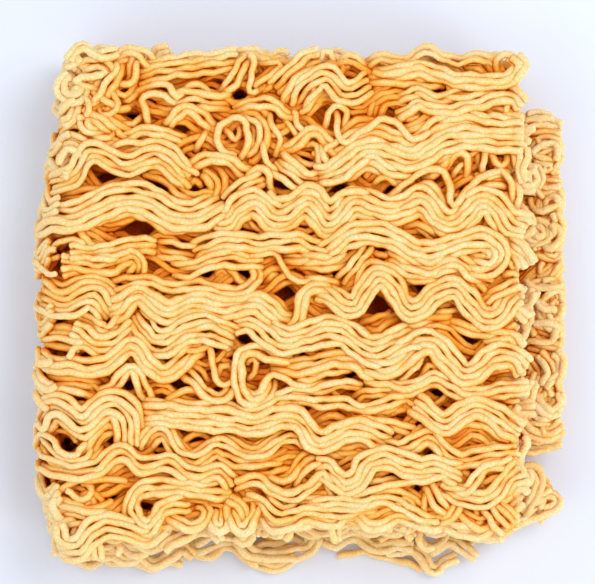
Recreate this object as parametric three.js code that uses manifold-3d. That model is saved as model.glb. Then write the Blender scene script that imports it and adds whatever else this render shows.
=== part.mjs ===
// A dry instant noodle block: one wavy sheet of noodle strands, folded over once and fried hard in a square mould.
// The fold is on the left. On the right the two layers end in cut strands, and the lower one sticks out. A skirt of
// its strands spreads out over the table at the front. Millimetres, +Z up, front towards -Y. The origin is the
// middle of the block's outline, on the surface that it lies on.
import * as THREE from "three";
import { mergeVertices } from "three/addons/utils/BufferGeometryUtils.js";
import Module from "manifold-3d";

const wasm = await Module();
wasm.setup();

// Heights
const BLOCK_HEIGHT = 25;
const LOWER_HEIGHT = 12; // where the lower layer ends and the upper one begins
const LAYER_OVERLAP = 2; // how far the upper layer sinks into the lower one

// Outline: how far each layer reaches from the middle at its foot
const FOLD_LEFT = 50.2; // both layers, at half the block's height
const UPPER_RIGHT = 43.2;
const UPPER_FRONT = 46.5;
const UPPER_BACK = 49.6;
const LOWER_RIGHT = 50.8;
const LOWER_FRONT = 47.0;
const LOWER_BACK = 49.0;

// Sides: how far each leans in between its foot and its top
const FOLD_ROUNDING = 4.2; // of the fold, above and below its middle
const FRONT_LEAN = 4.5;
const SIDE_LEAN = 1.2;
const LEFT_RUN_IN = 3.4; // how far the left side runs in towards the back corner
const SIDE_RIPPLE = 0.7; // depth of the ripple that the folds of the strands give the sides

const SKIRT_REACH = 4.2; // of the loose strands at the foot of the front side
const SKIRT_HALF_WIDTH = 34;
const SKIRT_MIDDLE = -3;
const NOTCH_DEPTH = 6; // of the gap in the lower layer's right side, near the front corner
const NOTCH_HALF_WIDTH = 2.5;
const NOTCH_MIDDLE = -29;
const BACK_STEP_DEPTH = 8; // how much shorter the ledge on the right is at its back end
const BACK_STEP_START = 34;
const BACK_STEP_END = 38;
const CORNER_PULL = 0.04; // share of the half width by which a corner is rounded off
const CORNER_POWER = 14; // the higher, the smaller the corner's radius
const EDGE_DROP = 3.0; // how far the top falls off at its edges
const EDGE_POWER = 14;

// The top is combed into wavy ridges, one for each ribbon of strands.
const RIDGE_PITCH = 9.5;
const RIDGE_HEIGHT = 0.9;
const WAVE_LENGTH = 13;
const WAVE_SWING = 1.8;

const UPPER_SEGMENTS = [36, 38, 4];
const LOWER_SEGMENTS = [30, 34, 3];

const NOODLE_COLOUR = 0xf2c879;
const NOODLE_ROUGHNESS = 0.6;

const { smoothstep } = THREE.MathUtils;
const mix = (a, b, share) => a + (b - a) * share;
const wave = (turns) => Math.sin(2 * Math.PI * turns);

// 1 within halfWidth of middle, and falling smoothly to 0 on either side.
function plateau(x, middle, halfWidth) {
  const past = Math.abs(x - middle) - halfWidth;
  return 1 - smoothstep(past / halfWidth, 0, 0.6);
}

// An uneven edge: two ripples whose pitches never fall in step.
function ripple(along, start) {
  return SIDE_RIPPLE * (0.6 * wave(along / 13.7 + start) + 0.4 * wave(along / 5.9 + 2.3 * start));
}

// How high the combed top stands at a point, from 0 to RIDGE_HEIGHT.
function ridge(x, y) {
  const combed = y + WAVE_SWING * wave(x / WAVE_LENGTH + y / 60);
  return RIDGE_HEIGHT * (0.5 - 0.5 * wave(combed / RIDGE_PITCH));
}

// How far the fold reaches to the left at a height and a place along Y.
function foldReach(z, along) {
  const offMiddle = z / (BLOCK_HEIGHT / 2) - 1;
  const runIn = (LEFT_RUN_IN * Math.max(along, 0)) / UPPER_BACK;
  return FOLD_LEFT - FOLD_ROUNDING * offMiddle ** 2 - runIn + ripple(along, 0.1);
}

// A slab whose four sides and top are each bent by a function. A point of it is told by u and v, which run from
// -1 to 1 across the slab, and w, which runs from 0 at its foot to 1 at its top.
function slab({ bottom, top, segments, reach, surface }) {
  const box = new THREE.BoxGeometry(2, 2, 1, ...segments).translate(0, 0, 0.5);
  const position = box.getAttribute("position");
  for (let i = 0; i < position.count; i++) {
    const [u, v, w] = [position.getX(i), position.getY(i), position.getZ(i)];
    const side = reach(u, v, w);
    const roundX = 1 - CORNER_PULL * Math.abs(v) ** CORNER_POWER;
    const roundY = 1 - CORNER_PULL * Math.abs(u) ** CORNER_POWER;
    const x = mix(-side.left, side.right, (u + 1) / 2) * roundX;
    const y = mix(-side.front, side.back, (v + 1) / 2) * roundY;
    const drop = (EDGE_DROP * (Math.abs(u) ** EDGE_POWER + Math.abs(v) ** EDGE_POWER)) / 2;
    position.setXYZ(i, x, y, mix(bottom, top - drop + surface(x, y), w));
  }
  return box;
}

function upperLayer() {
  const bottom = LOWER_HEIGHT - LAYER_OVERLAP;
  return slab({
    bottom,
    top: BLOCK_HEIGHT - RIDGE_HEIGHT,
    segments: UPPER_SEGMENTS,
    reach: (u, v, w) => {
      const [across, along] = [UPPER_RIGHT * u, UPPER_BACK * v];
      return {
        left: foldReach(mix(bottom, BLOCK_HEIGHT, w), along),
        right: UPPER_RIGHT - SIDE_LEAN * w + ripple(along, 0.4),
        front: UPPER_FRONT - FRONT_LEAN * w + ripple(across, 0.7),
        back: UPPER_BACK - SIDE_LEAN * w + ripple(across, 0.2),
      };
    },
    surface: ridge,
  });
}

function lowerLayer() {
  return slab({
    bottom: 0,
    top: LOWER_HEIGHT,
    segments: LOWER_SEGMENTS,
    reach: (u, v, w) => {
      const [across, along] = [LOWER_RIGHT * u, LOWER_BACK * v];
      const notch = NOTCH_DEPTH * plateau(along, NOTCH_MIDDLE, NOTCH_HALF_WIDTH);
      const backStep = BACK_STEP_DEPTH * smoothstep(along, BACK_STEP_START, BACK_STEP_END);
      const skirt = SKIRT_REACH * plateau(across, SKIRT_MIDDLE, SKIRT_HALF_WIDTH) * (1 - w) ** 2;
      return {
        left: foldReach(mix(0, LOWER_HEIGHT, w), along),
        right: LOWER_RIGHT - notch - backStep - SIDE_LEAN * w + ripple(along, 0.9),
        front: LOWER_FRONT + skirt - SIDE_LEAN * w + ripple(across, 0.3),
        back: LOWER_BACK - SIDE_LEAN * w + ripple(across, 0.5),
      };
    },
    surface: () => 0,
  });
}

function solidOf(geometry) {
  const bare = geometry.clone().deleteAttribute("normal").deleteAttribute("uv");
  const merged = mergeVertices(bare, 1e-3);
  return new wasm.Manifold(
    new wasm.Mesh({
      numProp: 3,
      vertProperties: merged.getAttribute("position").array,
      triVerts: new Uint32Array(merged.index.array),
    }),
  );
}

// The solid as a geometry, moved so that the middle of its outline is at the origin.
function centredGeometry(solid) {
  const mesh = solid.getMesh();
  const geometry = new THREE.BufferGeometry();
  geometry.setAttribute("position", new THREE.BufferAttribute(mesh.vertProperties, 3));
  geometry.setIndex(new THREE.BufferAttribute(mesh.triVerts, 1));
  geometry.computeBoundingBox();
  const middle = geometry.boundingBox.getCenter(new THREE.Vector3());
  geometry.translate(-middle.x, -middle.y, -geometry.boundingBox.min.z);
  geometry.computeVertexNormals();
  return geometry;
}

function noodleBlock() {
  const solid = solidOf(upperLayer()).add(solidOf(lowerLayer()));
  const material = new THREE.MeshStandardMaterial({
    color: NOODLE_COLOUR,
    roughness: NOODLE_ROUGHNESS,
    metalness: 0,
  });
  const mesh = new THREE.Mesh(centredGeometry(solid), material);
  mesh.name = "noodle_block";
  return mesh;
}

const part = new THREE.Group();
part.add(noodleBlock());
export default part;
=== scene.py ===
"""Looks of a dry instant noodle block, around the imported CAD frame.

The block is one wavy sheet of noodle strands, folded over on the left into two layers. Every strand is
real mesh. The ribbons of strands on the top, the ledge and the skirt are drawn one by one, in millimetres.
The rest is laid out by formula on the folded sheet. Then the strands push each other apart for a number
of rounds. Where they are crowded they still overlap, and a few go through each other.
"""

import math
from dataclasses import dataclass

import bmesh
import bpy
import numpy as np
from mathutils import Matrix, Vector, noise


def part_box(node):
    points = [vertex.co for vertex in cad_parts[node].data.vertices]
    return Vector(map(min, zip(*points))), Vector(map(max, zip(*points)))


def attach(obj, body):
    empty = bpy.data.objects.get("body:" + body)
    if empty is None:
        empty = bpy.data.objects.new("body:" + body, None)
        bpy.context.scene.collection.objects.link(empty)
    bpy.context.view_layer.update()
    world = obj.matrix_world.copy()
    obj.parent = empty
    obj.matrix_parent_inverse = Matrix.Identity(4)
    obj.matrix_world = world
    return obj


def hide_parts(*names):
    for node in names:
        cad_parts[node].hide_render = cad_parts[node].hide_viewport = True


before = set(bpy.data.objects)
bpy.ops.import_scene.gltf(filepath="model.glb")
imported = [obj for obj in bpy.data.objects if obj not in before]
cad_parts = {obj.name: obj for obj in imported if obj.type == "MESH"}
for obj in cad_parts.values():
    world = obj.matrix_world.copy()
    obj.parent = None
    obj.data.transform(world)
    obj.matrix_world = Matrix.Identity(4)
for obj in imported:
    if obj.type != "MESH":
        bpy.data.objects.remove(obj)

MM = 0.001

# The height of the block, in millimetres, from the frame
noodle_low, noodle_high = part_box("noodle_block")
BLOCK_HEIGHT = (noodle_high[2] - noodle_low[2]) / MM
HALF_HEIGHT = BLOCK_HEIGHT / 2

# Strands, in millimetres
STRAND_RADIUS = 0.69
STEP = 1.0  # between the places along a strand that the eye meets
DEEP_STEP = 1.3  # and along one that lies deeper
THICKNESS_SWING = 0.09  # share by which a strand is now thicker, now thinner
OVALNESS = 0.1  # share by which its section is longer one way, and shorter the other
PITCH = 1.22  # from strand to strand in a ribbon
TABLE_CLEARANCE = 1.42  # how high the middles of strands stay above the table, in their half thicknesses
CONTACT = 0.84  # share of their thickness that strands are pushed to be apart, where there is room
WANDER = 0.33  # how far a strand strays from its ribbon
KINK = 0.17  # and how far its short kinks go
KINK_REACH = 6.5  # which follow each other this closely
RISE = 0.5  # how far it rises and falls
RISE_REACH = 10.0  # and over what length
THICKNESS_REACH = 13.0  # over what length its thickness changes
TWIST = (0.5, 23.0)  # how far its oval section turns, in radians, and over what length
DIVE = 1.8  # how far its ends dive under its neighbours
DIVE_LENGTH = 2.2  # and over what length
DIVE_SIDE = 42.5  # they do so between here and as far on the other side of the middle
DIVE_FRONT = -42.0
DIVE_BACK = 49.0
HEIGHT_SPREAD = 0.42  # how much higher or lower than its ribbon a strand lies
RIBBON_TILT = 0.2  # how steep a ribbon lies at most
THICKNESS_RANGE = (0.91, 1.13)  # times the radius, from the thinnest strand to the thickest
STACK_SMOOTHING = 3.6  # how far along a ribbon its strands look to see which way they are stacked
END_STAGGER = 1.0  # strands of a ribbon start late by whole steps below this: at one step, none does
END_LENGTH = 0.3  # how far from its cut ends a strand starts to narrow
END_SHARE = 0.64  # share of its thickness that a strand keeps at its cut ends

# Ribbons laid out by formula, in millimetres. A swing is its size and over what length it goes.
WAVE_LENGTH = (11.5, 14.5)  # from the shortest to the longest
WAVE_HEIGHT = (1.1, 2.2)  # from the lowest to the highest, from the middle to a crest
WAVE_UNEVENNESS = (0.12, 53.0)  # the swing of its waves along the ribbon, as a share of a wave
LEVEL_SPREAD = 0.35  # how much higher or lower than its level a ribbon lies
SIDEWAYS_SWING = (0.8, 60.0)
RIBBON_SWING = (0.55, 15.0)  # of a ribbon up and down
STRAND_SWING = (0.25, 9.0)  # and of each strand in it
LAID_TILT = 0.22  # how steep such a ribbon lies at most
RIBBON_STRANDS = (2, 6)  # from the smallest number of strands to one more than the largest
RIBBON_GAP = 0.5  # the widest gap from ribbon to ribbon
SHEET_START = 0.5  # how far along the sheet the deeper strands start
COMB_START = 0.3  # and those that show their ends
COMB_SPREAD = 3.0  # by how much the lengths of those differ
COMB_EXTRA = 8.0  # how much longer they are in the lower layer
MEET_SPREAD = 8.0  # how far from the middle of the sheet its two pieces meet at most

# Curls of short strands
CURL_KNOTS = (4, 8)  # from the smallest number of knots to one more than the largest
CURL_STEP = 1.7  # mm from knot to knot
CURL_BEND = (0.35, 0.95)  # radians from knot to knot
CURL_UNEVENNESS = 0.35  # radians

# The folded sheet
FOLD_MIDDLE = -37.0  # where the fold begins to curve
FOLD_REACH = 13.6  # how far it reaches to the left of there
FOLD_SKIN_LEFT = -51.0  # the place on X that depth behind the skin of the fold is measured from
FOLD_SQUARENESS = 3.4  # the power of its rounded section: 2 for round, more for squarer
FOLD_RUN_IN = 5.4  # how far its reach runs in at the back corner
RUN_IN_BACK = 12.0  # which starts from this place on Y
UPPER_END = 42.4  # how far the upper layer reaches to the right
LOWER_END = 50.0  # and the lower one
FRONT_EDGE = -45.0
BACK_EDGE = 48.6
FRONT_STEP = 4.0  # how far the middle of the front side stands back behind its left corner
FRONT_RUN_IN = 3.7  # how far the fold's reach runs in at the front corner
RUN_IN_FRONT = (28.0, 46.0)  # from where to where on -Y
FRONT_STEP_FROM = -16.0  # strands behind this place on Y don't step back
FRONT_STEP_OVER = 29.0  # and those this far in front of it step back in full
FRONT_STEP_LEFT = (-30.0, -23.0)  # where on X the step starts
FRONT_STEP_RIGHT = (29.0, 36.0)  # and where it gets smaller
FRONT_STEP_LOSS = 0.55  # by this share
LEDGE_HEIGHT = 13.1  # the level of the ledge that the depth of its painted shade is measured from
EDGE_ROUGHNESS = 0.8  # how far strands stick out past the edges
RIGHT_END = 50.3  # strands are held back beyond here
LEDGE_START = 42.5  # ribbons wholly to the right of here and behind the notch have a second level
LEDGE_TURN = 10.0  # the curls of which are mirrored about half of this on Y
LEDGE_LEVEL = 1.3  # how much lower than the first the second level is
LEDGE_SHIFT = 0.6  # and how far to its left
LEDGE_COMB_TOP = 10.5  # above this height its strands are curls, not the ends of the lower layer
TANGLE_RIM = 0.8  # how far past its tangle a short strand may curl
NOTCH_BACK = -25.5  # the back of the notch between the ledge and the front corner
NOTCH_REACH = 9.8  # how far the notch goes in
NOTCH_MIDDLE = -28.0  # on Y
NOTCH_HALF = 3.3  # half of its width
BACK_STEP = 7.0  # how far the lower layer stands back at the back
BACK_STEP_AT = (35.0, 39.0)  # from where to where on Y
CORNER_START = -36.2  # the place on Y where the front right corner starts to slant
CORNER_SLOPE = 2.3  # how far it goes in for each millimetre to the front
CORNER_DROP = 3.0  # how much lower the ledge is in the front corner
CORNER_DROP_AT = (28.0, 33.0)  # from where to where on -Y
LAYER_SPLIT = 12.5  # the height between the two layers
UNDERSIDE_SHIFT = 0.8  # how far back the ribbons of the underside lie
UNDERSIDE_SCALE = 0.985  # and how wide they lie, next to those of the top
LEAD_WAVE = 1.3  # height and length of the waves of top strands on their way round the fold
LEAD_WAVE_LENGTH = 13.0
LEAD_END_SPREAD = (-3.0, 4.0)  # how much earlier they end than where the fold meets the underside
LEAD_FLAT = 4.0  # how far to the left of the fold's middle they stay as drawn
FOLD_SKIN_DEPTH = 1.0  # how deep the middles of the strands in its skin lie
FOLD_START = -45.0  # where the skin of the fold starts on the top
FOLD_OVERHANG = 1.5  # top strands that reach this far past there are led round the fold

# The camera looks down on the block, from a little in front of it.
CAMERA_TARGET = (-0.3, 3.2, 25.0)
CAMERA_DISTANCE = 700.0
CAMERA_TILT = math.radians(3.5)
VIEW_WIDTH = 113.0  # across the picture, at the height of the top

# The tangle in the middle, in millimetres
CORE_LOW = (-42.0, -37.5, 8.0)
CORE_HIGH = (36.0, 40.5, 16.4)
CORE_CUTS = 26  # across each of its sides
CORE_BUMPS = (0.4, 0.4, 1.1)  # how high its bumps are along X, Y and Z

SEED = 7

# How strands push each other apart
RELAX_ROUNDS = 110
PAIRS_KEPT = 8  # rounds that the same pairs of places are looked at
PAIR_MARGIN = 0.45  # mm further apart than touching that a pair may be
LARGEST_MOVE = 0.3  # mm in one round
PUSH = 0.2  # share of their overlap that each of two places moves in one round
STIFFNESS = 0.5  # share of the way back to its own bend that a place moves in one round
RIGHT_PULL = 0.1  # share of the way back that a place moves which is beyond the right end
# How strongly strands are held to their first places, as a share of the way back in one round
DRAWN_HOLD = 0.1
UNDERSIDE_HOLD = 0.05
MARGIN_HOLD = 0.04
INNER_HOLD = 0.02
HOLD_AXES = (1.0, 1.0, 0.35)  # times these along X, Y and Z
HOLE_RIM = 1.05  # mm from a hole's radius to the middles of the strands round it
HOLE_PUSH = 0.25  # share of the way out that a strand moves in one round
HOLE_BOTTOM = 17.0  # strands that start below this height may lie under a hole
HOLE_LIP = 2.9  # and those that start less than this under the top stay where they are

# The pieces whose strands are rounder, as they can be seen from close by
FINE_PIECES = ("noodle_top", "noodle_ledge_and_skirt", "noodle_tangles", "noodle_underside", "noodle_fold")

# Looks
NOODLE_ROUGHNESS = 0.55
NOODLE_SPECULAR = 0.05
GLOW = 0.33  # share of the light that goes through the skin
GLOW_REACH = (0.9, 0.45, 0.15)  # mm, in red, green and blue
LOOSE_DEPTH = -0.5  # mm of depth that the painted shade of loose strands starts at
LOOSE_LIGHT = 0.1  # share by which they count as less deep, so that their painted shade is lighter
LOOSE_CONTRAST = 0.9  # and by which the painted shade on their flanks gets golden faster
CUT_END_DEPTH = 0.8  # mm of depth that the painted shade of a cut end in the open goes by
CUT_END_STEEPNESS = 3.0  # how much faster than its depth that goes up
# Painted shade: the colour of the noodles by how deep they lie, in mm, from pale cream at the skin to dark
# brown deep in, standing in for the shade there
DEPTH_SHADE_COLOURS = (
    (-2.0, (0.985, 0.81, 0.36)),
    (0.3, (0.975, 0.735, 0.39)),
    (1.1, (0.975, 0.665, 0.265)),
    (2.2, (0.955, 0.49, 0.08)),
    (3.8, (0.89, 0.26, 0.014)),
    (9.0, (0.60, 0.09, 0.001)),
)
FLANK_SHADE_STEEPNESS = 5.0  # painted shade: how much faster a strand gets golden and darker on its way in, round its flanks, than the block does
# Each strand and blotch is tinted between these two.
GOLDEN_TINT = (0.99, 0.87, 0.67)
PALE_TINT = (1.0, 1.03, 1.12)
BLOTCH_SCALE = 240.0  # per metre
SPECKLE_SCALE = 2300.0
SPECKLE_COLOURS = ((0.36, (0.985, 0.87, 0.68)), (0.52, (1.0, 1.0, 1.0)), (0.66, (1.0, 1.05, 1.2)))
PIT_SCALE = 1900.0
PIT_DEPTH = 0.3  # mm
TABLE_ROUGHNESS = 0.75
TABLE_SPECULAR = 0.2
TABLE_CLOUD_SCALE = 4.0
TABLE_COLOUR = (0.765, 0.828, 0.949)
TABLE_PALER = (0.796, 0.857, 0.974)
TABLE_FRONT_SHADOW = (0.90, 0.872, 0.86)  # painted shadow: by which it is darker in front of the block
TABLE_SHADOW_SPAN = (-0.075, 0.01)  # from where to where on Y the painted shadow fades and it gets its full colour, in metres
TABLE_HALF = 1.5  # half of its side, in metres
SKY_COLOUR = (0.94, 0.96, 1.0)
SKY_STRENGTH = 0.74
# Name, place in metres, size, power and colour
LIGHTS = (
    ("key", (0.50, 0.26, 1.05), 0.65, 5.1, (1.0, 1.0, 1.0)),
    ("fill", (-0.6, -0.5, 0.8), 0.9, 2.2, (0.98, 0.98, 1.0)),
    ("low", (0.82, -0.66, 0.42), 0.6, 4.0, (1.0, 1.0, 1.0)),
    ("left", (-0.9, 0.1, 0.42), 0.6, 1.1, (0.80, 0.90, 1.0)),
)

# Each ribbon of the top: its height, how many strands lie side by side in it, and the crests, troughs and
# turns that its middle runs through, from end to end.
TOP_RIBBONS = (
    # back left corner
    (23.6, 2, (-44, 47.2), (-42.6, 49.3), (-40.6, 50.1), (-39.2, 48.8), (-37.5, 48.6), (-34.5, 49.2)),
    (23.0, 1, (-44.5, 46), (-41.5, 46.8), (-39.5, 47.8), (-37, 47.4), (-35.4, 45.8), (-36, 44),
     (-37.4, 43.6)),
    (23.9, 1, (-41, 45.2), (-39.5, 46), (-37.6, 45.8), (-36.8, 45), (-38.5, 44.2), (-41, 44.6),
     (-42.8, 43.2)),
    (22.8, 1, (-41.8, 43.4), (-39.6, 43.2), (-37.6, 43.2), (-36.4, 42)),
    (22.4, 2, (-44.6, 42.6), (-42.6, 42.6), (-41, 41.6), (-39, 41.2), (-37.2, 39.8)),
    (24.1, 2, (-34.2, 46.8), (-34.6, 44.8), (-35.8, 43), (-36.9, 41.2), (-37.7, 39.6), (-39.4, 38.4)),
    (22.6, 2, (-36, 39.6), (-38, 38.4), (-39.2, 36.8), (-41, 36.4)),
    (23.4, 1, (-32, 48.6), (-32.4, 46), (-32.6, 43.8), (-33.6, 42.6)),
    (24.0, 1, (-30.4, 47.4), (-30.8, 45.4), (-31.4, 43.6), (-33, 42.6), (-34.4, 43)),
    (22.8, 1, (-31, 43.2), (-31, 41.2), (-32.4, 39.8), (-34.4, 40)),
    (23.4, 2, (-35.2, 47.6), (-33.6, 49.2), (-31.2, 49.4), (-29.4, 48.4), (-28.3, 46.8), (-26.8, 46.4)),
    (21.6, 2, (-36, 38), (-33.4, 38.2), (-31.4, 38.9), (-29.8, 39.6)),
    (21.4, 2, (-36, 36), (-33.4, 35.6), (-30.6, 35.3), (-28, 36.4), (-25.2, 36.8)),
    (23.8, 2, (-42, 37.4), (-39.8, 36.4), (-37.8, 35.2), (-36, 34.2), (-34.6, 33.6)),
    (22.4, 3, (-48.5, 34.6), (-46.2, 36), (-43.8, 37.6), (-41.4, 38.6), (-39.6, 38.2)),
    (22.8, 2, (-47.8, 34.4), (-46, 34.4), (-43.6, 35.6), (-42, 35.2)),
    (23.2, 2, (-40.2, 34.6), (-39.6, 32.6), (-38, 31.7), (-36.2, 31.9), (-35, 33.2), (-34.8, 35)),
    (23.6, 2, (-48.2, 30), (-46.4, 32), (-44, 33.2), (-41.8, 32.2), (-39.8, 31)),
    (23.9, 2, (-46.2, 27.6), (-45.6, 30), (-43.8, 30.9), (-42.2, 30), (-40.8, 29)),
    (22.2, 2, (-45.2, 26.6), (-43.8, 27.4), (-43, 28.4)),
    # back edge
    (23.4, 4, (-31.4, 44.7), (-28, 45.6), (-24, 46.2), (-19, 47), (-15, 47.3), (-11.6, 48)),
    (22.4, 2, (-14, 47.9), (-11.4, 48.6), (-9, 48.9), (-7.2, 47.9), (-5.4, 47.7), (-3.8, 48.6),
     (-2.2, 47.8)),
    (23.6, 1, (-31, 41.6), (-28.8, 42.8), (-26.6, 43.4), (-24.8, 42.6), (-23.3, 40.6), (-21.6, 42),
     (-19.5, 43.5), (-17.8, 42.2), (-16.2, 40.7), (-14.6, 41.4)),
    (24.2, 1, (-29, 34.8), (-29.2, 37.4), (-29.8, 39.9), (-28.4, 41.2), (-26, 41), (-24.2, 39.8),
     (-22, 40.4)),
    (23.4, 3, (-27, 39.8), (-24, 39.2), (-20.5, 39.8), (-17, 39.4), (-12.9, 39)),
    (23.9, 2, (-25, 34.8), (-23.4, 36.8), (-21.4, 38), (-19.2, 37), (-17.4, 35.4), (-16.2, 34.2)),
    (23.9, 2, (-15.6, 40.9), (-13.6, 42.4), (-12, 44.6), (-10.8, 47), (-9.7, 48.2)),
    (24.2, 1, (-9.9, 48.4), (-8.7, 47.2), (-8.9, 44.8), (-9.7, 42.6), (-9.4, 41), (-7.9, 41.4)),
    (23.4, 1, (-8.6, 42.2), (-7.4, 43.8), (-5.8, 44.9), (-4, 45.8), (-3.8, 47), (-6, 47), (-8, 47.2)),
    (23.8, 3, (4.2, 48.6), (1.2, 47.4), (-1.4, 45.4), (-3.4, 43.4), (-4.6, 42)),
    (24.1, 2, (2.8, 46.3), (0.8, 44.2), (-1, 42.4), (-2.2, 40.4), (-2.8, 38.8)),
    (24.0, 4, (-0.8, 38.6), (-0.2, 40.6), (1.6, 42.6), (4.4, 44.3), (6.6, 43.5), (8.2, 41.6),
     (10.4, 41.5), (13.6, 43)),
    (23.4, 2, (0.3, 36.6), (2.4, 38.6), (4.6, 40.6), (6, 40.6)),
    (23.0, 2, (7.8, 45.6), (8.8, 47.2), (10.3, 48), (11.8, 47), (12.3, 45.2)),
    (22.8, 1, (4.6, 47), (4.8, 49), (6, 48.8), (6.6, 47)),
    (22.8, 2, (12.8, 46.4), (15.4, 47.6), (18.4, 47.7), (20.6, 47.4), (22.8, 48.9), (25.2, 49.1),
     (27.2, 47.8), (30.4, 47.4), (33.2, 47.9), (36.4, 47.2), (37.2, 45.6)),
    (23.9, 3, (14.2, 44.6), (18, 45.1), (22.4, 45.9), (26, 45), (30, 43.9), (34, 43.4), (37.6, 43.4),
     (40.6, 44.4), (41.8, 46.6), (40.6, 48.2)),
    (22.8, 1, (41.2, 48), (39.2, 48.6), (37.6, 47.4), (37.8, 45.6), (39.6, 44.6)),
    (23.2, 2, (13.4, 43.2), (17, 43.8), (20.6, 43.6), (24, 42.9), (27.8, 43)),
    (22.9, 2, (31.6, 46.4), (34.4, 46.8), (36, 45.4), (36.4, 44.2)),
    (23.0, 2, (14, 40.4), (15.6, 41.4), (17.4, 42.8)),
    (24.0, 1, (28.4, 43.6), (28.6, 41.8), (30.4, 41.4)),
    (23.5, 2, (17.4, 38.8), (20, 40.4), (22.6, 41.4), (24.8, 40.6), (27, 39.8), (29.6, 40.8), (33, 41.6),
     (37, 42.2)),
    (23.9, 3, (18.4, 37.2), (20.6, 38.6), (22.6, 39.6), (25, 38.6), (28, 38.4), (32, 39.2), (35.4, 39.8),
     (38.4, 40.9), (41, 40.6), (42.6, 38.6)),
    (23.2, 2, (18.4, 36.9), (20.8, 36.9), (23, 37.4)),
    (23.2, 3, (15.4, 40), (14.6, 38.4), (14.4, 36.4)),
    (24.2, 1, (5, 32.6), (4.8, 35), (5.6, 37.8), (7.1, 39.2), (8.6, 38), (9, 35.8), (8.4, 33.8)),
    (24.2, 1, (7, 37.8), (7.5, 35.6), (7.3, 33.4), (8.6, 31.7), (10.6, 32.4), (12.8, 34.6), (15.6, 36.2),
     (18.2, 35.6), (20, 33.6), (21.8, 32.3), (23.8, 33.2), (25.8, 35)),
    # loops in the back half
    (22.6, 1, (-20.6, 34.4), (-18.8, 34.9), (-17.6, 33.8)),
    (23.4, 2, (-17, 34.4), (-17.8, 32), (-18.6, 29.6)),
    (22.8, 1, (-21, 31.8), (-20, 33.4), (-18.8, 33.2), (-19.4, 31.6)),
    (23.9, 2, (-12.4, 38.2), (-9.6, 39.3), (-6.6, 39.7), (-4.4, 38.8), (-2.6, 37.3), (-0.4, 37)),
    (23.4, 1, (-11, 37), (-9.4, 38), (-7, 37.9), (-6.4, 36.2)),
    (24.3, 1, (-11.8, 28.9), (-14, 29.8), (-15.5, 32.6), (-14.8, 35.4), (-12.4, 36.6), (-10.4, 35.6),
     (-9.8, 32.8), (-10.1, 30), (-11.2, 28.5)),
    (23.6, 1, (-14, 35.2), (-13.4, 33.2), (-12.4, 31.9), (-11.4, 33.2), (-11.6, 35)),
    (23.2, 1, (-14.4, 31.4), (-12.4, 30.9), (-11, 31.8)),
    (23.5, 3, (-10.4, 36.4), (-8.2, 35.6), (-7.4, 33), (-8, 30.6), (-10, 28.8)),
    (22.6, 3, (-11.4, 29.4), (-9.4, 27.6), (-7.4, 27.6)),
    (24.0, 1, (-5.9, 37.6), (-5.4, 35.2), (-4.1, 33.4), (-3.8, 31.4), (-4.6, 29.4)),
    (24.1, 1, (-6.4, 32), (-6.2, 29.4), (-5.6, 27.2), (-4.4, 26)),
    (23.8, 2, (-1.9, 37.4), (-0.9, 35.2), (0.2, 33.6), (1, 32.3)),
    (22.6, 1, (-4.2, 36), (-2.8, 34.8), (-3.4, 32.6), (-1.4, 31)),
    (24.0, 2, (-4.2, 30), (-1.4, 31), (1, 32.8), (3.4, 33.6), (5.2, 32.2), (7, 30), (9, 30.2)),
    (23.6, 1, (-0.6, 30), (1.6, 31.4), (3.4, 31), (4, 28.6), (4.8, 26.6), (7, 26)),
    (24.1, 1, (4.4, 31.8), (5, 29.4), (5.8, 27.4), (7, 27.4)),
    (24.2, 5, (-4, 28.6), (-2.6, 27.4), (-0.6, 26), (1.6, 24.8), (4, 24.8)),
    (23.8, 1, (-10.4, 24), (-8.8, 26.2), (-7.2, 27.1), (-5.8, 26), (-5, 23.6), (-4.4, 21.6)),
    (23.8, 2, (-21, 26.4), (-18.8, 28.2), (-15.8, 28.7), (-13, 27.8), (-11.2, 26.2), (-9.4, 25.2)),
    (23.4, 3, (-18.2, 26.2), (-16.2, 25.2), (-15.6, 23), (-16.6, 21.4)),
    (22.6, 2, (-21.6, 24), (-19.6, 25), (-18, 24)),
    # the wide ribbons of the left half
    (23.8, 2, (-35.2, 31.6), (-32.2, 33), (-28.6, 34), (-25.6, 33.7), (-23, 32.8), (-20.8, 31)),
    (24.0, 2, (-36.4, 30), (-33, 31), (-28.6, 31.5), (-25.2, 30.9), (-23, 28.8), (-21.6, 27),
     (-20.4, 25.4)),
    (24.1, 4, (-50, 24.2), (-45, 24.3), (-42.6, 26), (-40, 29.6), (-36.8, 29), (-33.4, 27.2), (-30.2, 28),
     (-27, 29), (-24.6, 27.6), (-22.6, 25.4), (-20.4, 24)),
    (23.0, 2, (-29.8, 25.4), (-27.2, 25.5), (-24.6, 24.2), (-22.4, 22), (-20.4, 21.2), (-17.6, 21.6),
     (-15.2, 21)),
    (22.4, 2, (-46.6, 20.7), (-43.6, 21.8), (-39.4, 21.9), (-35.8, 23), (-32.4, 24.4), (-28.8, 24)),
    (24.3, 5, (-50.5, 16.4), (-47.6, 17.9), (-44, 17.4), (-40, 18.6), (-35.6, 20.9), (-32, 21.4),
     (-28.2, 20.4), (-25, 18.6), (-22, 17.6), (-19, 17.9), (-16.4, 19.2), (-14.6, 20.4)),
    (23.8, 2, (-45, 15.4), (-40, 16.6), (-36, 18), (-32, 18.6), (-29, 17.9), (-26, 16.2), (-23.4, 15.3),
     (-20.4, 16.1), (-18, 17.6)),
    (22.8, 2, (-48.6, 10.6), (-48, 13.4), (-46.4, 14.9), (-44.6, 15.3)),
    (23.4, 1, (-47.4, 10.4), (-45.6, 12.7), (-43.2, 13.2), (-41, 12.4), (-39.2, 11.4)),
    (23.9, 1, (-41.8, 15.6), (-41, 13.6), (-39.8, 12.2), (-38, 11.4)),
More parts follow.
